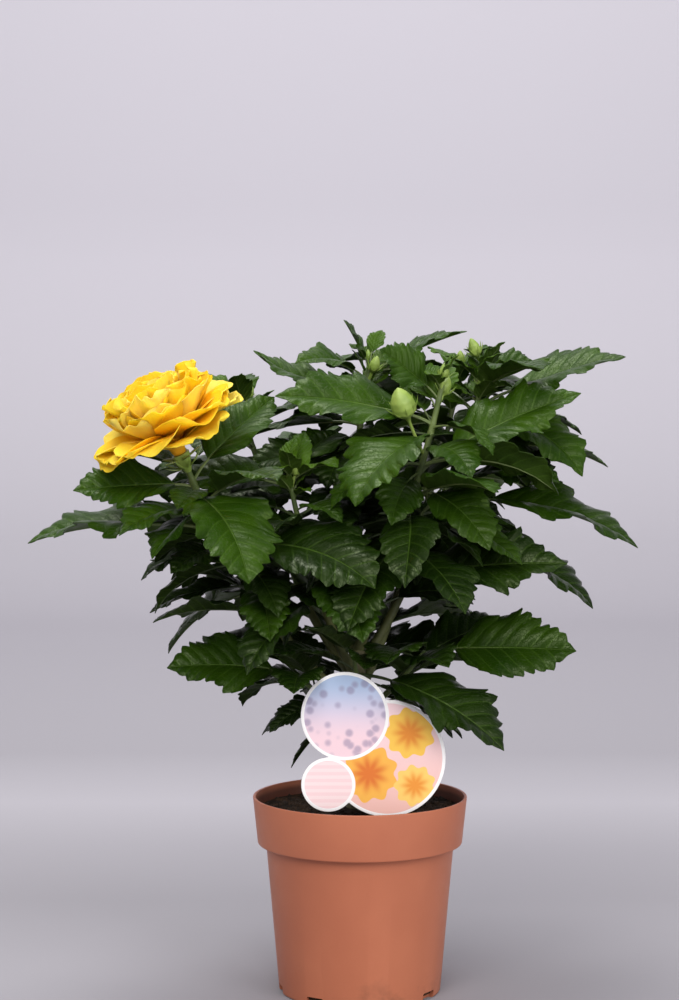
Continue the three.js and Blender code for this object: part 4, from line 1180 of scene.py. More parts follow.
def green_of(plan, root, roll, small):
    """Fresh outside and high up, deep inside."""
    if "young" in plan:
        return "young"
    reach = root + heading(plan["bearing"], plan["rise"]) * plan["blade"] * 0.8
    outward = np.linalg.norm((reach - CROWN_MIDDLE) / CROWN_REACH)
    score = outward + HIGH_COUNTS * (reach[2] - CROWN_MIDDLE[2]) / CROWN_REACH[2]
    score += mix(-CHANCE, CHANCE, roll())
    score -= SMALL_TAKES if small else 0
    return "fresh" if score > FRESH_FROM else "mid" if score > MID_FROM else "deep"


def leaf_piece(name, nodes):
    skin = Skin(("blade", "OFBake"))
    leaves = [(leaf, False) for node in nodes for leaf in masses[node]["leaves"]]
    leaves += [(leaf, True) for node in nodes for leaf in masses[node]["small"]]
    cells = math.ceil(math.sqrt(len(leaves)))
    roll = dice(masses[nodes[0]]["shoot"]["seed"] + 9)
    for cell, ((plan, root), small) in enumerate(leaves):
        paints = [slot_of[finish_name] for finish_name in GREENS[green_of(plan, root, roll, small)]]
        add_leaf(skin, plan, root, paints, cell, cells, fine=not small)
    return skin.piece(name, LEAF_FINISHES.values())


for name, nodes in LEAF_PIECES.items():
    piece = leaf_piece(name, nodes)
    dress(piece, "foliage", *nodes)
    print(name, "has", 2 * len(piece.data.polygons), "triangles")

# %% [markdown]
# ## Stems, twigs, trunk and boughs
# The young stems are green and smooth, and a little thicker where a leaf leaves them. The trunk and the
# boughs are older: their bark is grey-green, finely cracked lengthwise, and ringed by the scars of fallen
# leaves. A tube of many sides takes this relief from noise in its radius.

# %% Stem and bark finishes
rough_bark = dict(scales=(90.0, 1400.0), bump=(0.0005, 0.8), fine_share=0.7)
BARK_GREY = mottled_finish("bark_grey", (128, 122, 88), (74, 70, 44), 0.78, **rough_bark)
STEM_GREEN = mottled_finish("stem_green", (104, 120, 62), (70, 88, 40), 0.5)
BARK_GREEN = mottled_finish("bark_green", (112, 116, 66), (74, 80, 42), 0.62)
BUD_GREEN = mottled_finish("bud_green", (158, 180, 90), (118, 144, 56), 0.45)
print("four finishes for stems, bark and buds")

# %% Stems with a swelling at each leaf
STEM_SIDES = 14
STEM_STEP = 1.6  # mm between two rings
KNOT_SWELL, KNOT_WIDTH = 0.22, 1.8  # where a leaf leaves: a share of the radius, and mm


def stem_radius(shares, radius, tip, knots, swell, width):
    swelling = sum(np.exp(-(((shares - knot) / width) ** 2)) for knot in knots)
    return mix(radius, tip, shares) * (1 + swell * np.minimum(swelling, 1))


def stem_tube(line, radius, tip, roots):
    length = reach_of(line)
    shares = np.linspace(0, 1, max(12, int(length / STEM_STEP)))
    places = stations(line, shares)[0]
    knots = [np.argmin(np.linalg.norm(places - root, axis=1)) / (len(shares) - 1) for root in roots]
    thick = stem_radius(shares, radius, tip, knots, KNOT_SWELL, KNOT_WIDTH / length)
    furrow = 1 + 0.03 * np.sin(3 * ring_turns(STEM_SIDES)[None, :] + 9 * shares[:, None])
    return tube_points(line, shares, thick[:, None] * furrow, STEM_SIDES)


def leaves_from(line, mass):
    """The roots of the leaves that leave this limb of a mass."""
    step = np.linalg.norm(line[1, 0] - line[0, 0])
    return [root for _, root in mass["leaves"] if np.linalg.norm(line[:, 0] - root, axis=1).min() < step]


tubes = [stem_tube(*limb, leaves_from(limb[0], mass)) for mass in masses.values() for limb in mass["limbs"]]
stems = tube_skin(*tubes).piece("stems_and_twigs", [STEM_GREEN])
dress(stems, "foliage", *masses)
print("the stems have", 2 * len(stems.data.polygons), "triangles")

# %% Bark relief
TRUNK_BARK = {"rings": 110, "sides": 32, "depth": 0.34}  # depth in mm
BOUGH_BARK = {"step": 1.2, "sides": 24, "depth": 0.16, "scars": 4, "swell": 0.09, "width": 0.02}


def bark_relief(turn, up):
    """How far the bark stands out: lengthwise ridges that wander, and a fine roughness."""
    x, y = math.cos(turn), math.sin(turn)
    ridge = noise.noise(Vector((2.4 * x, 2.4 * y, up * 0.07)))
    return 0.75 * ridge + 0.35 * noise.noise(Vector((6 * x, 6 * y, up * 0.5)))


def bark_tube(line, shares, thick, sides, depth):
    length = reach_of(line)
    relief = [[bark_relief(turn, share * length) for turn in ring_turns(sides)] for share in shares]
    return tube_points(line, shares, thick[:, None] + depth * np.array(relief), sides)


trunk_line = np.zeros((3, 4, 3))
trunk_line[:, 0] = [mix(TRUNK["foot"], TRUNK["fork"], share) for share in (0, 0.5, 1)]
trunk_line[:, 1:] = (0, 0, 1), (0, 1, 0), (-1, 0, 0)
trunk_shares = np.linspace(0, 1, TRUNK_BARK["rings"])
thick = trunk_radius(mix(TRUNK["foot"][2], TRUNK["fork"][2], trunk_shares))
trunk_tube = bark_tube(trunk_line, trunk_shares, thick, TRUNK_BARK["sides"], TRUNK_BARK["depth"])
trunk = tube_skin(trunk_tube).piece("trunk_bark", [BARK_GREY])
dress(trunk, "bark", "trunk")
bough_tubes = []
for name, size in BOUGHS.items():
    shares = np.linspace(0, 1, int(size["length"] / BOUGH_BARK["step"]))
    scars = (np.arange(BOUGH_BARK["scars"]) + 0.6) / BOUGH_BARK["scars"]
    swelling = scars, BOUGH_BARK["swell"], BOUGH_BARK["width"]
    thick = stem_radius(shares, size["radius"], size["tip"], *swelling)
    bough_tubes.append(bark_tube(bough_routes[name], shares, thick, BOUGH_BARK["sides"], BOUGH_BARK["depth"]))
boughs = tube_skin(*bough_tubes).piece("bough_bark", [BARK_GREEN])
dress(boughs, "green_bark", *BOUGHS)
print("trunk and boughs have", 2 * (len(trunk.data.polygons) + len(boughs.data.polygons)), "triangles")

# %% [markdown]
# ## Buds
# A bud is a closed green cup of five sepals that meet in a point, on a short stalk. Under it stands a
# collar of narrow leaflets. Geometry Nodes set one modelled leaflet round it: the tree makes a circle of
# points, turns a copy out from each, and ends by making the copies real.

# %% One leaflet of the collar


def tapered_leaflet(length, width, thick, bend, rings=9, sides=8):
    """A narrow pointed leaflet along +X that bends up towards +Z."""
    share = np.linspace(0, 1, rings)
    angle = np.radians(bend) * share
    steps = np.stack([np.cos(angle[1:]), np.sin(angle[1:])]) * length / (rings - 1)
    x, z = np.concatenate([np.zeros((2, 1)), np.cumsum(steps, 1)], 1)[..., None]
    broad = np.maximum(np.sin(np.pi * mix(0.22, 1.0, share)) ** 0.9, 0.04)[:, None]
    turns, angle = ring_turns(sides), angle[:, None]
    across = broad * width / 2 * np.cos(turns)
    up = broad * thick / 2 * np.sin(turns)
    return tube_skin(np.stack([x - np.sin(angle) * up, across, z + np.cos(angle) * up], -1))


def real_copies(wire, given, points, **placing):
    """The given copy set on each point, all of them made real and given their finish."""
    copy = wire.node("GeometryNodeObjectInfo", {"Object": given["Copy"]}).outputs["Geometry"]
    set_out = wire.node("GeometryNodeInstanceOnPoints", {"Points": points, "Instance": copy, **placing})
    real = wire.node("GeometryNodeRealizeInstances", {"Geometry": set_out.outputs[0]}).outputs[0]
    return wire.node("GeometryNodeSetMaterial", {"Geometry": real, "Material": given["Finish"]}).outputs[0]


def copying_group(name, numbers, wholes):
    """A new Geometry Nodes tree that sets copies of an object on a geometry."""
    inputs = {"shape": ["Geometry"], "object": ["Copy"], "number": numbers, "whole": wholes}
    inputs["finish"] = ["Finish"]
    return new_group(name, inputs, {"shape": ["Geometry"]}, "GeometryNodeTree")


def collar_tree():
    """A Geometry Nodes tree that sets copies of a leaflet round the +Z axis."""
    numbers = ["Radius", "Tilt", "Wander"]
    tree, wire, given, result = copying_group("leaflet_collar", numbers, ["Count", "Seed"])
    circle = wire.node("GeometryNodeMeshCircle", {"Vertices": given["Count"], "Radius": given["Radius"]})
    index = wire.node("GeometryNodeInputIndex").outputs[0]
    round_it = wire.calc("MULTIPLY", wire.calc("DIVIDE", index, given["Count"]), 2 * math.pi)
    span = {"Seed": given["Seed"], 2: wire.calc("MULTIPLY", given["Wander"], -1.0), 3: given["Wander"]}
    stray = wire.node("FunctionNodeRandomValue", span, data_type="FLOAT").outputs[1]
    angles = wire.joined(Y=wire.calc("SUBTRACT", stray, given["Tilt"]), Z=round_it)
    turned = wire.node("FunctionNodeEulerToRotation", {0: angles}).outputs[0]
    plug(wire, result, Geometry=real_copies(wire, given, circle.outputs[0], Rotation=turned))
    return tree


def evaluated_mesh(thing):
    """A new mesh of what a thing's modifiers make of it."""
    bpy.context.view_layer.update()
    return bpy.data.meshes.new_from_object(thing.evaluated_get(bpy.context.evaluated_depsgraph_get()))


def run_tree(tree, carrier, **values):
    """What a tree makes of a carrier mesh, as a mesh of its own without a modifier."""
    holder = placed(tree.name + "_carrier", carrier)
    modifier = holder.modifiers.new(tree.name, "NODES")
    modifier.node_group = tree
    values = spaced(values)
    for item in tree.interface.items_tree:
        if item.in_out == "INPUT" and item.name in values:
            modifier[item.identifier] = values[item.name]
    made = evaluated_mesh(holder)
    bpy.data.objects.remove(holder)
    return made


COLLAR = collar_tree()
print("the collar tree holds", len(COLLAR.nodes), "nodes")

# %% Setting a piece on a frame


def frame_matrix(place, along, side):
    """Turns a piece modelled on +Z into one that stands at `place` along `along`, in metres."""
    # the piece's +X goes to `side`, its +Y to `up`, its +Z to `along`
    columns = (side, np.cross(along, side), along, np.array(place) * MM)
    return Matrix([[column[row] for column in columns] for row in range(3)]).to_4x4()


def collar_mesh(stand, count, radius, tilt, leaflet, seed, wander=0.16):
    """A collar of leaflets that stands somewhere: a place, along and side."""
    shape = leaflet.piece("leaflet", [BUD_GREEN])
    sizes = dict(Count=count, Radius=radius * MM, Tilt=math.radians(tilt), Wander=wander, Seed=seed)
    made = run_tree(COLLAR, bpy.data.meshes.new("nothing"), Copy=shape, Finish=BUD_GREEN, **sizes)
    bpy.data.objects.remove(shape)
    made.transform(frame_matrix(*stand))
    return made


def from_bmesh(name, body):
    mesh = bpy.data.meshes.new(name)
    body.to_mesh(mesh)
    body.free()
    return placed(name, mesh)


def paint(mesh, *materials):
    mesh.materials.clear()
    for material in materials:
        mesh.materials.append(material)


def joined_piece(name, meshes, *materials):
    """Several meshes as one piece."""
    body = bmesh.new()
    for mesh in meshes:
        body.from_mesh(mesh)
    made = from_bmesh(name, body)
    paint(made.data, *materials)
    smooth(made.data, 60)
    return made


def triangles_of(piece):
    return sum(len(face.vertices) - 2 for face in piece.data.polygons)


print("a frame's matrix turns +Z to", frame_matrix(np.zeros(3), heading(0, 0), heading(90, 0)).col[2][:3])

# %% Bud bodies
BUD = dict(stalk=11, length=13, radius=3.8, leaflets=7, leaflet=9)
FAT_BUD = dict(stalk=28, length=20, radius=7.5, leaflets=8, leaflet=12)
BUD_OUTLINE = [0, 0.06, 0.2, 0.4, 0.6, 0.8, 0.92, 1], [0.26, 0.5, 0.9, 1, 0.92, 0.62, 0.34, 0.05]
BUD_SIDES = 30
BUD_MATCH = 0.7  # mm from a bud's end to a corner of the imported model


def neck_of(shape):
    """The share of a bud's route at which its stalk ends."""
    return shape["stalk"] / (shape["stalk"] + shape["length"])


def bud_route(shape, root, bearing, rise, size):
    whole = (shape["stalk"] + shape["length"]) * size
    return route(root, whole, 48, lambda s: bearing, lambda s: rise + 12 * s)


def bud_points(shape, line, size):
    """A stalk that swells into a cup of five sepals, whose tips close with a slight twist."""
    neck = neck_of(shape)
    shares = np.concatenate([np.linspace(0, neck, 10)[:-1], mix(neck, 1, np.linspace(0, 1, 26))])
    up_bud = np.clip((shares - neck) / (1 - neck), 0, 1)
    cup = np.interp(up_bud, *BUD_OUTLINE) * shape["radius"] * size
    thick = np.where(shares < neck, mix(0.9, 1.0, shares / neck), cup)[:, None]
    seam = np.abs(np.sin(2.5 * (ring_turns(BUD_SIDES)[None, :] + 0.7 * up_bud[:, None]))) ** 0.5
    ridged = 1 - 0.1 * (1 - seam) * (up_bud[:, None] > 0)
    return tube_points(line, shares, thick * ridged, BUD_SIDES)


def bud_stand(line, shape):
    """Where a bud's collar stands, just above its stalk."""
    place, along, side, _ = stations(line, mix(neck_of(shape), 1, 0.08))
    return place[0], along[0], side[0]


def buds_of(mass):
    """The buds that a mass would have, (shape, route, size), by its own dice."""
    shoot, stem, roll = mass["shoot"], mass["stem"], mass["roll"]
    for k in range(shoot["buds"]):
        root = place_at(stem, mix(0.88, 1, k / max(1, shoot["buds"] - 1)))
        rise, size = mix(52, 78, roll()), mix(0.62, 1, roll())
        yield BUD, bud_route(BUD, root, shoot["first_bearing"] + 60 + GOLDEN_ANGLE * k, rise, size), size
    if "fat_bud" in shoot:
        fat = shoot["fat_bud"]
        yield FAT_BUD, bud_route(FAT_BUD, place_at(stem, fat["at"]), fat["bearing"], fat["rise"], 1), 1


bud_meshes = []
for mass in masses.values():
    for shape, line, size in buds_of(mass):
        if mass["corners"].find(Vector(line[-1, 0]))[2] > BUD_MATCH:
            continue
        seed = len(bud_meshes) // 2
        bud_meshes.append(tube_skin(bud_points(shape, line, size)).mesh("bud_body", [BUD_GREEN]))
        leaflet = tapered_leaflet(shape["leaflet"] * size, 1.5 * size, 0.7 * size, 30)
        reach = shape["radius"] * size * 0.45
        bud_meshes.append(collar_mesh(bud_stand(line, shape), shape["leaflets"], reach, 38, leaflet, seed))
buds = joined_piece("buds", bud_meshes, BUD_GREEN)
dress(buds, "foliage", *[name for name, shoot in SHOOTS.items() if shoot["buds"]])
print(len(bud_meshes) // 2, "buds,", triangles_of(buds), "triangles")

# %% [markdown]
# ## The flower
# The open flower is a double one. Five broad petals spread at its foot, a second ring stands steeper, and
# its heart is a crowd of smaller ruffled petals that fill a dome. Each petal is a thin closed sheet that
# leaves the throat at a bearing and a rise and curls as it goes, with an edge that waves more the nearer it
# is to the rim. The green cup under it has five sepals, and below them a collar of narrow leaflets.

# %% Petal finish
PETAL_GLOW = dict(Subsurface_Weight=0.5, Subsurface_Radius=(1.0, 0.72, 0.2), Subsurface_Scale=0.006)
PETAL_TONES = {  # rim, middle and throat
    "petal_gold": ((255, 210, 52), (255, 198, 38), (248, 166, 34)),
    "petal_pale": ((255, 218, 84), (255, 208, 58), (250, 178, 44)),
    "petal_deep": ((255, 200, 38), (252, 188, 30), (242, 152, 26)),
}
line_outputs = {"number": ["Lines", "Depth"]}
petal_veins, draw, given, result = new_group("petal_veins", {"vector": ["Spot"]}, line_outputs)
spot = draw.parts(given["Spot"])
fanned = draw.joined(X=draw.calc("MULTIPLY", spot["X"], 26.0), Y=spot["Y"])
plug(draw, result, Lines=draw.noise(fanned, 1.6, 2.0), Depth=spot["Y"])


def petal_finish(name, rim, middle, throat):
    """Yellow, warmer towards the throat, with fine lengthwise lines."""
    material, wire, shader = finish(name, 0.6, Specular_IOR_Level=0.15, **PETAL_GLOW)
    veins = wire.group(petal_veins, Spot=wire.on_map("petal"))
    body = wire.blend(wire.ramp(veins["Depth"], 0.3, 0.85), colour(*middle), colour(*rim))
    body = wire.blend(wire.ramp(veins["Depth"], 0.3, 0.02), body, colour(*throat))
    lined = wire.blend(wire.ramp(veins["Lines"], 0.62, 0.3, 0.0, 0.22), body, colour(*middle))
    plug(wire, shader, Base_Color=lined, Normal=wire.bump(veins["Lines"], 0.0005, 0.6))
    return material


PETAL_FINISHES = [petal_finish(name, *tones) for name, tones in PETAL_TONES.items()]
print(len(PETAL_FINISHES), "petal finishes")

# %% A petal's sheet
BLOOM = dict(tilt=27, tilt_bearing=207, throat_radius=7, neck_radius=3.8, seed=4242, thickness=0.55)
CALYX_LENGTH = 12
PETAL_ROWS, PETAL_COLUMNS = 26, 19
PETAL_SPREAD = [0, 0.25, 0.5, 0.75, 0.9, 1], [0.2, 0.66, 0.96, 1, 0.86, 0.62]
bloom_foot = place_at(masses["left_shoot"]["stem"], 1)
bloom_along = heading(BLOOM["tilt_bearing"], 90 - BLOOM["tilt"])
bloom_side = heading(BLOOM["tilt_bearing"] + 90, 0)
bloom_up = np.cross(bloom_along, bloom_side)


def on_bloom(height):
    return bloom_foot + bloom_along * height


def bloom_line(*heights):
    """A straight route up the flower's axis."""
    return np.array([(on_bloom(height), bloom_along, bloom_side, bloom_up) for height in heights])


def petal_points(foot, bearing, rise, curl, length, width, ruffle, phase, waves, cup, out):
    """A petal's two faces, (2, rows, columns, 3), and each point's place on it."""
    turn_at = math.radians(bearing)
    outward = bloom_side * math.cos(turn_at) + bloom_up * math.sin(turn_at)
    across = np.cross(bloom_along, outward)
    share = np.linspace(0, 1, PETAL_ROWS)[:, None]
    pitch = np.radians(rise + curl * share)
    along = outward * np.cos(pitch) + bloom_along * np.sin(pitch)
    up = (-outward * np.sin(pitch) + bloom_along * np.cos(pitch))[:, None]
    step = (along[1:] + along[:-1]) / 2 * length / (PETAL_ROWS - 1)
    middle = on_bloom(foot) + outward * out + np.concatenate([np.zeros((1, 3)), np.cumsum(step, 0)])
    lateral = np.linspace(-1, 1, PETAL_COLUMNS)
    spread = np.interp(share, *PETAL_SPREAD)
    half, edge, grow = spread * width / 2, lateral**2, share**2
    frill = np.sin(phase + waves * 2.5 * lateral)
    frill = frill + 0.5 * np.sin(2.3 * phase + waves * 5.4 * lateral + 3 * share)
    frill = frill + 0.35 * np.sin(1.7 * phase + 5.1 * waves * lateral - 6 * share)
    lift = ruffle * grow * frill + cup * half * edge
    notch = -0.12 * length * edge * np.maximum(share - 0.9, 0) * 10
    scallop = 0.015 * length * grow * np.sin(3.2 * phase + waves * 7 * lateral) * (share > 0.8)
    sheet = middle[:, None] + across * (half * lateral)[..., None]
    sheet = sheet + up * lift[..., None] + along[:, None] * (notch + scallop)[..., None]
    # the faces stand to both sides of the sheet's own normal
    normal = np.cross(np.gradient(sheet, axis=0), np.gradient(sheet, axis=1))
    normal /= np.linalg.norm(normal, axis=2, keepdims=True) + 1e-9
    thick = BLOOM["thickness"] / 2 * mix(1.4, 0.5, share)[..., None]
    spots = np.stack(np.broadcast_arrays(0.5 + 0.5 * lateral * spread, share), -1)
    return np.stack([sheet + normal * thick, sheet - normal * thick]), spots


print("a petal has", 2 * len(sheet_quads(PETAL_ROWS, PETAL_COLUMNS)[0]), "triangles")

# %% The flower's petals
HEART = dict(bearing=(-14, 14), rise=0, curl=0, length=0, width=0, ruffle=(1.2, 2.6), phase=(0, 6))
HEART |= dict(waves=(0.8, 1.4), cup=(0.2, 0.42), out=0.0)
OUTER = HEART | dict(waves=2.0, cup=0.16)
FIRST = OUTER | dict(bearing=(-8, 8), rise=(28, 38), curl=-40, length=(45.12, 49.92), width=44, ruffle=1.6)
SECOND = OUTER | dict(bearing=(-10, 10), rise=(38, 48), curl=(10, 34), length=(45.12, 50.88), width=36)
SECOND |= dict(ruffle=3.2)
PETAL_RINGS = [  # how many, the first one's bearing, the height of their feet, and what they are drawn from
    (5, 0, 4, FIRST),
    (6, 30, 6, SECOND),
    (8, 0, 9, HEART | dict(rise=(20, 32), curl=(-52, -22), length=(42, 47), width=(40, 46), out=2.0)),
    (8, 31, 9, HEART | dict(rise=(26, 36), curl=(4, 26), length=(41, 45), width=(38, 44), out=3.0)),
    (7, 62, 10, HEART | dict(rise=(42, 54), curl=(18, 40), length=(39, 43), width=(34, 40), out=3.0)),
    (6, 93, 11, HEART | dict(rise=(58, 70), curl=(6, 30), length=(36, 40), width=(30, 36), out=2.4)),
    (4, 124, 12, HEART | dict(rise=(72, 88), curl=(-6, 24), length=(32, 37), width=(24, 30), out=1.4)),
]
THROAT_RINGS, THROAT_SIDES = 8, 20
foot = CALYX_LENGTH - 2 + GAP
roll = dice(BLOOM["seed"])
petals = []
for count, first_bearing, lift, spans in PETAL_RINGS:
    for k in range(count):
        petal = drawn(spans, roll)
        petal["bearing"] += first_bearing + 360 / count * k
        petals.append(petal | {"foot": foot + lift})
flower = Skin(("petal", "OFBake"))
cells = math.ceil(math.sqrt(len(petals) + 1))
for cell, petal in enumerate(petals):
    slot = cell * 7 % 3 if cell > 4 else cell % 2
    add_sheet(flower, petal_points(**petal), (slot, slot), cell, cells)
up_throat = np.linspace(0, 1, THROAT_RINGS)
throat_radii = mix(BLOOM["neck_radius"], BLOOM["throat_radius"], up_throat)
throat = tube_points(bloom_line(foot, foot + 6, foot + 12), up_throat, throat_radii, THROAT_SIDES)
quads = tube_quads(THROAT_RINGS, THROAT_SIDES)
ring, corner = np.divmod(quads, THROAT_SIDES)
x, y = 0.1 + 0.8 * corner / THROAT_SIDES, 0.1 + 0.8 * ring / (THROAT_RINGS - 1)
spot = np.stack([np.full(ring.shape, 0.5), ring / 70], -1)
flower.add(throat, quads, 0, {"petal": spot, "OFBake": own_square(x, y, len(petals), cells)})
flower = flower.piece("flower_petals", PETAL_FINISHES, sharp=80)
dress(flower, "petals", "bloom")
print("the flower has", len(petals), "petals and", 2 * len(flower.data.polygons), "triangles")

# %% The flower's green cup
CUP_OUTLINE = [-2, 2, 6, 10], [1.8, 3.4, 4.8, 5.4]  # heights and radii
CUP_RINGS, CUP_SIDES = 14, 40
cup_radii = np.interp(np.linspace(-2, CALYX_LENGTH - 2, CUP_RINGS), *CUP_OUTLINE)[:, None]
fluted = cup_radii * (1 + 0.04 * np.cos(5 * ring_turns(CUP_SIDES)))
cup_tube = tube_points(bloom_line(-2, 4, CALYX_LENGTH - 2), np.linspace(0, 1, CUP_RINGS), fluted, CUP_SIDES)
sepal = tapered_leaflet(11, 5.2, 1.0, -14, rings=12, sides=12)
bract = tapered_leaflet(12, 1.8, 0.8, 34)
cup_meshes = [
    tube_skin(cup_tube).mesh("cup_body", [BUD_GREEN]),
    collar_mesh((on_bloom(6.5), bloom_along, bloom_side), 5, 3.4, 24, sepal, 5, wander=0.04),
    collar_mesh((on_bloom(1), bloom_along, bloom_side), 8, 2.4, 20, bract, 8),
]
cup = joined_piece("flower_cup", cup_meshes, BUD_GREEN)
dress(cup, "foliage", "left_shoot")
print("the cup has", triangles_of(cup), "triangles")

# %% [markdown]
# ## The pot
# The pot is thin injection-moulded plastic in terracotta colour: smooth, half matte, with a broad band
# under the rim and drain notches at the foot. It is turned: a profile with rounded corners goes round the
# axis in many steps, and box cutters take out the notches. The light shows a fine moulded grain, and soil
# and water have dried on the plastic. Inside the band, under the rim, painted shade darkens the plastic.

# %% The pot's shape
POT = dict(height=119, rim_radius=65, band_height=28.5, band_foot=62, neck_radius=57, base_radius=49)
POT |= dict(wall=1.8, floor=2.2, sides=180)
DRAIN = dict(count=8, width=12, height=5, depth=8, first_bearing=11.6, rounding=1.2)
band_bottom = POT["height"] - POT["band_height"]
band_slope = (POT["rim_radius"] - POT["band_foot"]) / POT["band_height"]


def rounded(corners, steps=5):
    """A line through corners (radius, height, rounding) with each corner's rounding drawn in."""
    line = []
    for k, (x, z, rounding) in enumerate(corners):
        here = np.array([x, z], float)
        if not rounding:
            line.append(here)
            continue
        before, after = (np.array(corners[k + way][:2], float) - here for way in (-1, 1))
        start = here + before / np.linalg.norm(before) * rounding
        end = here + after / np.linalg.norm(after) * rounding
        for share in np.linspace(0, 1, steps):
            line.append(mix(mix(start, here, share), mix(here, end, share), share))
    return np.array(line)


def turned_mesh(name, profile, sides):
    """A profile of (radius, height) from one point on the axis to another, turned once round."""
    turns = 2 * np.pi * np.arange(sides) / sides
    radius, height = profile[1:-1, :1], profile[1:-1, 1:]
    rings = np.stack([radius * np.cos(turns), radius * np.sin(turns), np.repeat(height, sides, 1)], -1)
    ends = [(0, 0, profile[0, 1]), (0, 0, profile[-1, 1])]
    points = np.concatenate([rings.reshape(-1, 3), ends]) * MM
    top = rings.shape[0] * sides - sides
    faces = []
    for k in range(sides):
        after = (k + 1) % sides
        faces.append((top + sides, after, k))
        for low in range(0, top, sides):
            faces.append((low + k, low + after, low + sides + after, low + sides + k))
        faces.append((top + k, top + after, top + sides + 1))
    mesh = bpy.data.meshes.new(name)
    mesh.from_pydata(points.tolist(), [], faces)
    return placed(name, mesh)


def cut(thing, cutters):
    """The cutters taken out of a thing by Blender's exact Boolean, and the result kept as its mesh."""
    modifier = thing.modifiers.new("cut", "BOOLEAN")
    modifier.operation = "DIFFERENCE"
    modifier.solver = "EXACT"
    modifier.object = cutters
    made = evaluated_mesh(thing)
    thing.modifiers.clear()
    thing.data = made
    bpy.data.objects.remove(cutters)


def inner_wall(clearance):
    """The corners of the pot's inside, from the band down to the floor."""
    inset = POT["wall"] + clearance
    return [
        (POT["band_foot"] - inset, band_bottom + POT["wall"] + clearance, 1.0),
        (POT["neck_radius"] - inset, band_bottom - POT["wall"] + clearance, 1.0),
        (POT["base_radius"] - inset, POT["floor"] + clearance, 1.2),
    ]


outer_wall = [
    (POT["base_radius"], 0, 1.5),
    (POT["neck_radius"], band_bottom, 1.2),
    (POT["band_foot"], band_bottom, 1.1),
    (POT["rim_radius"], POT["height"], 0.7),
    (POT["rim_radius"] - POT["wall"], POT["height"], 0.6),
]
shell = rounded([(0, 0, 0), *outer_wall, *inner_wall(0), (0, POT["floor"], 0)])
# two more rings keep the faces of the underside short, for an even grain and a clean cut
pot = turned_mesh("pot_shell", np.insert(shell, 1, [(20, 0), (40, 0)], axis=0), POT["sides"])


def notch_cutters():
    """A rounded block at each drain notch."""
    blocks = bmesh.new()
    size = Matrix.Diagonal((DRAIN["depth"] * MM, DRAIN["width"] * MM, 2 * DRAIN["height"] * MM, 1))
    for k in range(DRAIN["count"]):
        turned = Matrix.Rotation(math.radians(DRAIN["first_bearing"] + 360 / DRAIN["count"] * k), 4, "Z")
        stand = turned @ Matrix.Translation((POT["base_radius"] * MM, 0, 0))
        made = bmesh.ops.create_cube(blocks, size=1, matrix=stand @ size)
        edges = list({edge for vertex in made["verts"] for edge in vertex.link_edges})
        rounding = DRAIN["rounding"] * MM
        bmesh.ops.bevel(blocks, geom=edges, offset=rounding, segments=3, affect="EDGES", profile=0.5)
    return from_bmesh("notches", blocks)


cut(pot, notch_cutters())
smooth(pot.data, 32)
print("the pot has", len(pot.data.polygons), "faces after the notches are cut")

# %% Terracotta-coloured plastic
TERRACOTTA, wire, shader = finish("terracotta_plastic", 0.46, Specular_IOR_Level=0.4)
where = wire.on_object()
up_pot = wire.parts(where)["Z"]
body = mottled(wire, (190, 114, 83), (181, 106, 77), 14.0, 700.0, 0.35)
# the plastic is duller and browner where soil and water have dried on it, low on the wall; inside the band,
# under the rim, painted shade darkens it
low_down = wire.ramp(wire.noise(where, 60.0, 5.0), 0.52, 0.75)
dirt = wire.calc("MULTIPLY", low_down, wire.ramp(up_pot, 0.03, 0.0))
from_axis = wire.vector("LENGTH", wire.vector("MULTIPLY", where, (1, 1, 0))[0])["Value"]
up_band = wire.calc("SUBTRACT", up_pot, band_bottom * MM)
wall_foot = (POT["band_foot"] - POT["wall"] + 0.2) * MM
wall_here = wire.calc("MULTIPLY_ADD", up_band, band_slope, wall_foot)
over_foot = wire.ramp(up_pot, (band_bottom + 0.5) * MM, (band_bottom + 1.5) * MM)
under_rim = wire.ramp(up_pot, (POT["height"] - 1) * MM, (POT["height"] - 5) * MM)
in_band = wire.calc("MULTIPLY", over_foot, under_rim)
# painted shade: a mask of the inside face of the band, under the rim, where shade falls
inside = wire.ramp(wire.calc("SUBTRACT", wall_here, from_axis), -0.0008, -0.0001)
inside = wire.calc("MULTIPLY", inside, in_band)
stain_and_painted_shade = wire.blend(wire.calc("MULTIPLY", dirt, 0.5), body["Colour"], colour(120, 76, 56))
# painted shade: dark brown over the inside of the band
stain_and_painted_shade = wire.blend(wire.calc("MULTIPLY", inside, 0.8), stain_and_painted_shade, colour(74, 38, 29))
dull = wire.calc("MULTIPLY_ADD", wire.noise(where, 120.0, 6.0), 0.2, 0.36)
grain = wire.noise(where, 2600.0, 2.0)
plug(wire, shader, Base_Color=stain_and_painted_shade, Roughness=dull, Normal=wire.bump(grain, 0.00006, 0.5))
paint(pot.data, TERRACOTTA)
dress(pot, "pot_plastic", "pot")
print("the pot is dressed")

# %% [markdown]
# ## The soil
# Potting soil is peat: dark, lumpy, with crumbs of every size and a few pale specks of wood and perlite.
# The ground is a turned block whose top is pushed up and down by noise. Geometry Nodes scatter crumbs over
# it: points on the top face, a small uneven lump on each, turned and sized at random from a fixed seed.

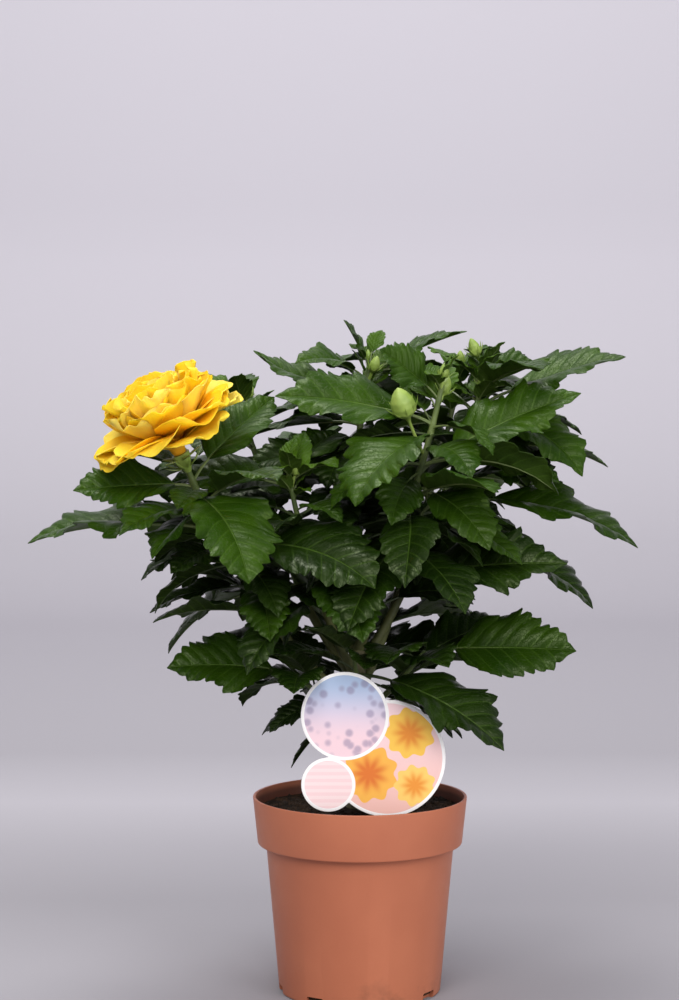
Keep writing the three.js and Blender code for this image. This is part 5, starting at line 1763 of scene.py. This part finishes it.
# %% The soil's ground
SOIL_RINGS, SOIL_SIDES = 44, 144
LUMPS = [(70, 1.1), (190, 0.7), (480, 0.35)]  # how close together they are, and their height in mm
soil_edge = POT["band_foot"] + band_slope * (SOIL_LEVEL - band_bottom) - POT["wall"] - GAP
soil_top = np.stack([np.linspace(soil_edge, 0, SOIL_RINGS), np.full(SOIL_RINGS, SOIL_LEVEL)], -1)
soil_top[0, 1] -= 1
soil_under = [(0, POT["floor"] + GAP), *(corner[:2] for corner in reversed(inner_wall(GAP)))]
soil = turned_mesh("soil_ground", np.concatenate([soil_under, soil_top]), SOIL_SIDES)
for vertex in soil.data.vertices:
    if vertex.co.z / MM < SOIL_LEVEL - 2:
        continue
    radius = math.hypot(vertex.co.x, vertex.co.y) / MM
    lumps = sum(height * noise.noise(vertex.co * scale) for scale, height in LUMPS)
    # none at the pot's wall, and none at the trunk
    keep = min(1, max(0, (soil_edge - radius) / 4)) * min(1, max(0, (radius - 9) / 4))
    vertex.co.z += (lumps - 0.9) * keep * MM
# the slot that the label's stake stands in
slot_stand = Matrix.Translation((0.0157, -0.045, SOIL_LEVEL * MM)) @ Matrix.Rotation(math.radians(4), 4, "X")
slot_size = Matrix.Diagonal((9.6 * MM, 1.4 * MM, 64.6 * MM, 1))
slot = bmesh.new()
bmesh.ops.create_cube(slot, size=1, matrix=slot_stand @ slot_size)
cut(soil, from_bmesh("stake_slot", slot))
smooth(soil.data, 50)
print("the soil's ground has", len(soil.data.polygons), "faces")

# %% Soil finishes
PEAT, wire, shader = finish("peat", 0.95, Specular_IOR_Level=0.2)
body = mottled(wire, (74, 54, 38), (30, 22, 15), 160.0, 900.0, 0.8)
rough = wire.bump(wire.noise(wire.on_object(), 700.0, 6.0), 0.0012, 1.0)
plug(wire, shader, Base_Color=body["Colour"], Normal=rough)
CRUMB_DARK = mottled_finish("crumb_dark", (58, 42, 30), (26, 18, 12), 0.95)
CRUMB_BROWN = mottled_finish("crumb_brown", (98, 66, 42), (58, 38, 24), 0.9)
CRUMB_PALE = mottled_finish("crumb_pale", (172, 156, 126), (128, 108, 82), 0.9)
print("four soil finishes")

# %% Scattering crumbs


def scatter_tree():
    """A Geometry Nodes tree that strews small copies over the upward faces of a ground."""
    numbers = ["Density", "Lowest", "Inner radius", "Outer radius", "Smallest", "Largest", "Sink"]
    tree, wire, given, result = copying_group("strewn_over", numbers, ["Seed"])
    parts = wire.parts(wire.node("GeometryNodeInputPosition").outputs[0])
    radius = wire.vector("LENGTH", wire.joined(X=parts["X"], Y=parts["Y"]))["Value"]
    beyond = wire.calc("GREATER_THAN", radius, given["Inner radius"])
    within = wire.calc("LESS_THAN", radius, given["Outer radius"])
    on_top = wire.calc("GREATER_THAN", parts["Z"], given["Lowest"])
    chosen = wire.calc("MULTIPLY", on_top, wire.calc("MULTIPLY", beyond, within))
    seed = {"Seed": given["Seed"]}
    over = {"Mesh": given["Geometry"], "Selection": chosen, "Density": given["Density"], **seed}
    strewn = wire.node("GeometryNodeDistributePointsOnFaces", over).outputs["Points"]
    any_way = {0: (0.0, 0.0, 0.0), 1: (6.283, 6.283, 6.283), **seed}
    turned = wire.node("FunctionNodeRandomValue", any_way, data_type="FLOAT_VECTOR").outputs[0]
    dealt = wire.node("FunctionNodeRandomValue", seed, data_type="FLOAT").outputs[1]
    # most crumbs are small: the share is cubed before it becomes a size
    span = wire.calc("SUBTRACT", given["Largest"], given["Smallest"])
    size = wire.calc("ADD", wire.calc("MULTIPLY", wire.calc("POWER", dealt, 3.0), span), given["Smallest"])
    sunk = {"Geometry": strewn, "Offset": wire.joined(Z=given["Sink"])}
    lowered = wire.node("GeometryNodeSetPosition", sunk).outputs[0]
    plug(wire, result, Geometry=real_copies(wire, given, lowered, Rotation=turned, Scale=size))
    return tree


def lump_object(name, seed, stretch, rough):
    """An uneven little stone, about 2 units across, that the tree scales to millimetres."""
    body = bmesh.new()
    bmesh.ops.create_icosphere(body, subdivisions=2, radius=1)
    for vertex in body.verts:
        push = 1 + rough * noise.noise(vertex.co * 1.7 + Vector((seed, 2 * seed, 0)))
        vertex.co = Vector([c * push * s for c, s in zip(vertex.co, stretch)])
    return from_bmesh(name, body)


SCATTER = scatter_tree()
# Each: finish; seed, stretch and roughness of its shape; how many to a square metre, sizes in mm and seed
CRUMBS = {
    "crumb": (CRUMB_DARK, (5, (1, 1, 0.8), 0.7), 88000, (0.5, 2.3), 7),
    "grit": (CRUMB_DARK, (11, (1, 0.8, 0.7), 0.5), 60000, (0.35, 0.9), 8),
    "fibre": (CRUMB_BROWN, (3, (3.4, 0.35, 0.35), 0.5), 16000, (0.5, 1.2), 9),
    "chip": (CRUMB_PALE, (17, (1.6, 0.9, 0.5), 0.6), 8200, (0.5, 1.5), 10),
}
on_soil = dict(Lowest=(SOIL_LEVEL - 3) * MM, Inner_radius=8 * MM, Outer_radius=(soil_edge - 2.6) * MM)
crumb_meshes = []
for name, (tone, shape, density, (smallest, largest), seed) in CRUMBS.items():
    lump = lump_object(name, *shape)
    sizes = dict(Density=density, Smallest=smallest * MM, Largest=largest * MM, Sink=-0.2 * MM, Seed=seed)
    crumb_meshes.append(run_tree(SCATTER, soil.data, Copy=lump, Finish=tone, **on_soil, **sizes))
    bpy.data.objects.remove(lump)
crumbs = joined_piece("soil_crumbs", crumb_meshes, CRUMB_DARK, CRUMB_BROWN, CRUMB_PALE)
paint(soil.data, PEAT)
dress(soil, "soil", "soil")
dress(crumbs, "soil", "soil")
print("crumbs on the soil:", len(crumbs.data.polygons), "triangles")

# %% [markdown]
# ## The label
# A picture label of thin printed plastic stands in the soil in front of the stem: three discs cut as one
# outline, on a stake. Its front is printed with a plain generic pattern on pale grounds, each disc inside a
# white rim, and its back is bare. The outline is drawn from one middle point: in each direction, the
# farthest place that any disc reaches.

# %% The label's sheet
LABEL_DISCS = [(15.7, 149, 34.5), (-9.2, 174, 26), (-19, 133.5, 16)]
LABEL = dict(middle=(-3, 150), front=-45, lean=4, thickness=0.8, stake_at=15.7, stake_width=9, stake_depth=32)


def label_reach(bearing):
    """How far the label reaches from its middle in a direction, in degrees."""
    ahead = np.array([math.cos(math.radians(bearing)), math.sin(math.radians(bearing))])
    reach = 0
    for x, z, radius in LABEL_DISCS:
        to_middle = np.array(LABEL["middle"]) - (x, z)
        along = to_middle @ ahead
        inside = along**2 - (to_middle @ to_middle - radius**2)
        if inside > 0:
            reach = max(reach, -along + math.sqrt(inside))
    return reach


def on_label(across, height, depth):
    """Places on the leaning label: across and height on its face, depth behind its middle plane."""
    rise, lean = height - SOIL_LEVEL, math.radians(LABEL["lean"])
    back = LABEL["front"] + rise * math.sin(lean) + depth * math.cos(lean)
    up = SOIL_LEVEL + rise * math.cos(lean) - depth * math.sin(lean)
    return np.stack(np.broadcast_arrays(across, back, up), -1)


def label_skin():
    """The sheet with a rounded edge, then the stake, its top inside the sheet."""
    skin = Skin(("print",))
    half = LABEL["thickness"] / 2
    shares = np.linspace(0.04, 1, 16)[:-1]
    rounding = [(0.3, -half), (0.08, -0.7 * half), (0, 0), (0.08, 0.7 * half), (0.3, half)]
    rings = [(share, 0, -half) for share in shares]
    rings += [(1, inset, depth) for inset, depth in rounding]
    rings += [(share, 0, half) for share in shares[::-1]]
    share, inset, depth = np.array(rings).T[..., None]
    bearings = np.arange(0, 360, 1.0)
    out = share * [label_reach(bearing) for bearing in bearings] - inset
    across = LABEL["middle"][0] + out * np.cos(np.radians(bearings))
    height = LABEL["middle"][1] + out * np.sin(np.radians(bearings))
    points = on_label(across, height, depth).reshape(-1, 3)
    spots = np.stack([across / 100 + 0.5, height / 100 - 1], -1).reshape(-1, 2)
    quads = tube_quads(len(rings), len(bearings), outward=False)
    middle = points[quads].mean(1)
    depth_there = middle[:, 1] - on_label(0, middle[:, 2], 0)[:, 1]
    skin.add(points, quads, np.where(depth_there < -0.8 * half, 0, 1), {"print": spots[quads]})

    wide, thick = LABEL["stake_width"] / 2, half - 0.05
    section = np.array([(-wide, 0.5), (-wide, -0.5), (0.2 - wide, -1), (wide - 0.2, -1)])
    across, depth = np.concatenate([section, -section]).T
    heights = SOIL_LEVEL - LABEL["stake_depth"] + np.array([0.3, 6, 20, 32, 45])[:, None]
    narrow = np.array([0.3, 1, 1, 1, 1])[:, None]
    stake = on_label(LABEL["stake_at"] + across * narrow, heights, depth * thick)
    skin.add(stake, tube_quads(*stake.shape[:2]), 1)
    return skin


print("the label reaches", round(label_reach(90), 1), "mm up from its middle")

# %% The label's print
LABEL_BARE = mottled_finish("label_bare", (244, 241, 240), (232, 228, 228), 0.4)
LABEL_PRINT, wire, shader = finish("label_print", 0.3, Specular_IOR_Level=0.5)
card = wire.vector("MULTIPLY_ADD", wire.on_map("print"), (100, 100, 0), (-50, 100, 0))[0]
height = wire.parts(card)["Y"]
WHITE = colour(250, 248, 248)
LOBES = 9
ROSETTES = [  # place, radius, rim and heart
    ((29, 164), 14, (246, 196, 84), (228, 140, 52)),
    ((5, 140), 16, (244, 180, 78), (220, 118, 48)),
    ((32, 133), 11.5, (248, 204, 108), (234, 150, 58)),
]


def way_from(place):
    """The way from a spot on the card."""
    return wire.vector("SUBTRACT", card, (*place, 0))[0]


def rosette(under, place, radius, rim, heart):
    """A plain scalloped round with a darker heart."""
    way = way_from(place)
    parts = wire.parts(way)
    angle = wire.calc("ARCTAN2", parts["Y"], parts["X"])
    waves = wire.calc("COSINE", wire.calc("MULTIPLY", angle, LOBES))
    scallop = wire.calc("MULTIPLY_ADD", waves, 0.09 * radius, wire.vector("LENGTH", way)["Value"])
    filled = wire.blend(wire.ramp(scallop, 0.2 * radius, 0.85 * radius), colour(*heart), colour(*rim))
    return wire.blend(wire.ramp(scallop, radius - 0.25, radius + 0.25), filled, under)


def disc_print(under, disc, inside):
    """A printed round inside its white rim, over what is under it."""
    length = wire.vector("LENGTH", way_from(disc[:2]))["Value"]
    rimmed = wire.blend(wire.ramp(length, disc[2] - 2.1, disc[2] - 1.8), inside, WHITE)
    return wire.blend(wire.ramp(length, disc[2] - 0.1, disc[2] + 0.1), rimmed, under)


flowers = wire.blend(wire.ramp(height, 116, 180), colour(238, 190, 180), colour(246, 214, 218))
for round_shape in ROSETTES:
    flowers = rosette(flowers, *round_shape)
sky = wire.blend(wire.ramp(height, 158, 196), colour(240, 208, 216), colour(176, 196, 226))
drops = wire.node("ShaderNodeTexVoronoi", {"Vector": card, "Scale": 0.15}).outputs["Distance"]
sky = wire.blend(wire.calc("MULTIPLY", wire.ramp(drops, 0.5, 0.2), 0.6), sky, colour(140, 128, 160))
stripes = wire.ramp(wire.calc("PINGPONG", height, 2.0), 0.9, 1.1, 0.0, 0.5)
bands = wire.blend(stripes, colour(244, 212, 214), colour(250, 232, 232))
printed = WHITE
for disc, inside in zip(LABEL_DISCS, (flowers, sky, bands)):
    printed = disc_print(printed, disc, inside)
plug(wire, shader, Base_Color=printed)
label = label_skin().piece("plant_label_card", [LABEL_PRINT, LABEL_BARE])
dress(label, "label_card", "plant_label")
print("the label has", len(label.data.polygons), "faces")

# %% Finish
[[list(map(float, corner)) for corner in box] for box in (cad_box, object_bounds())]
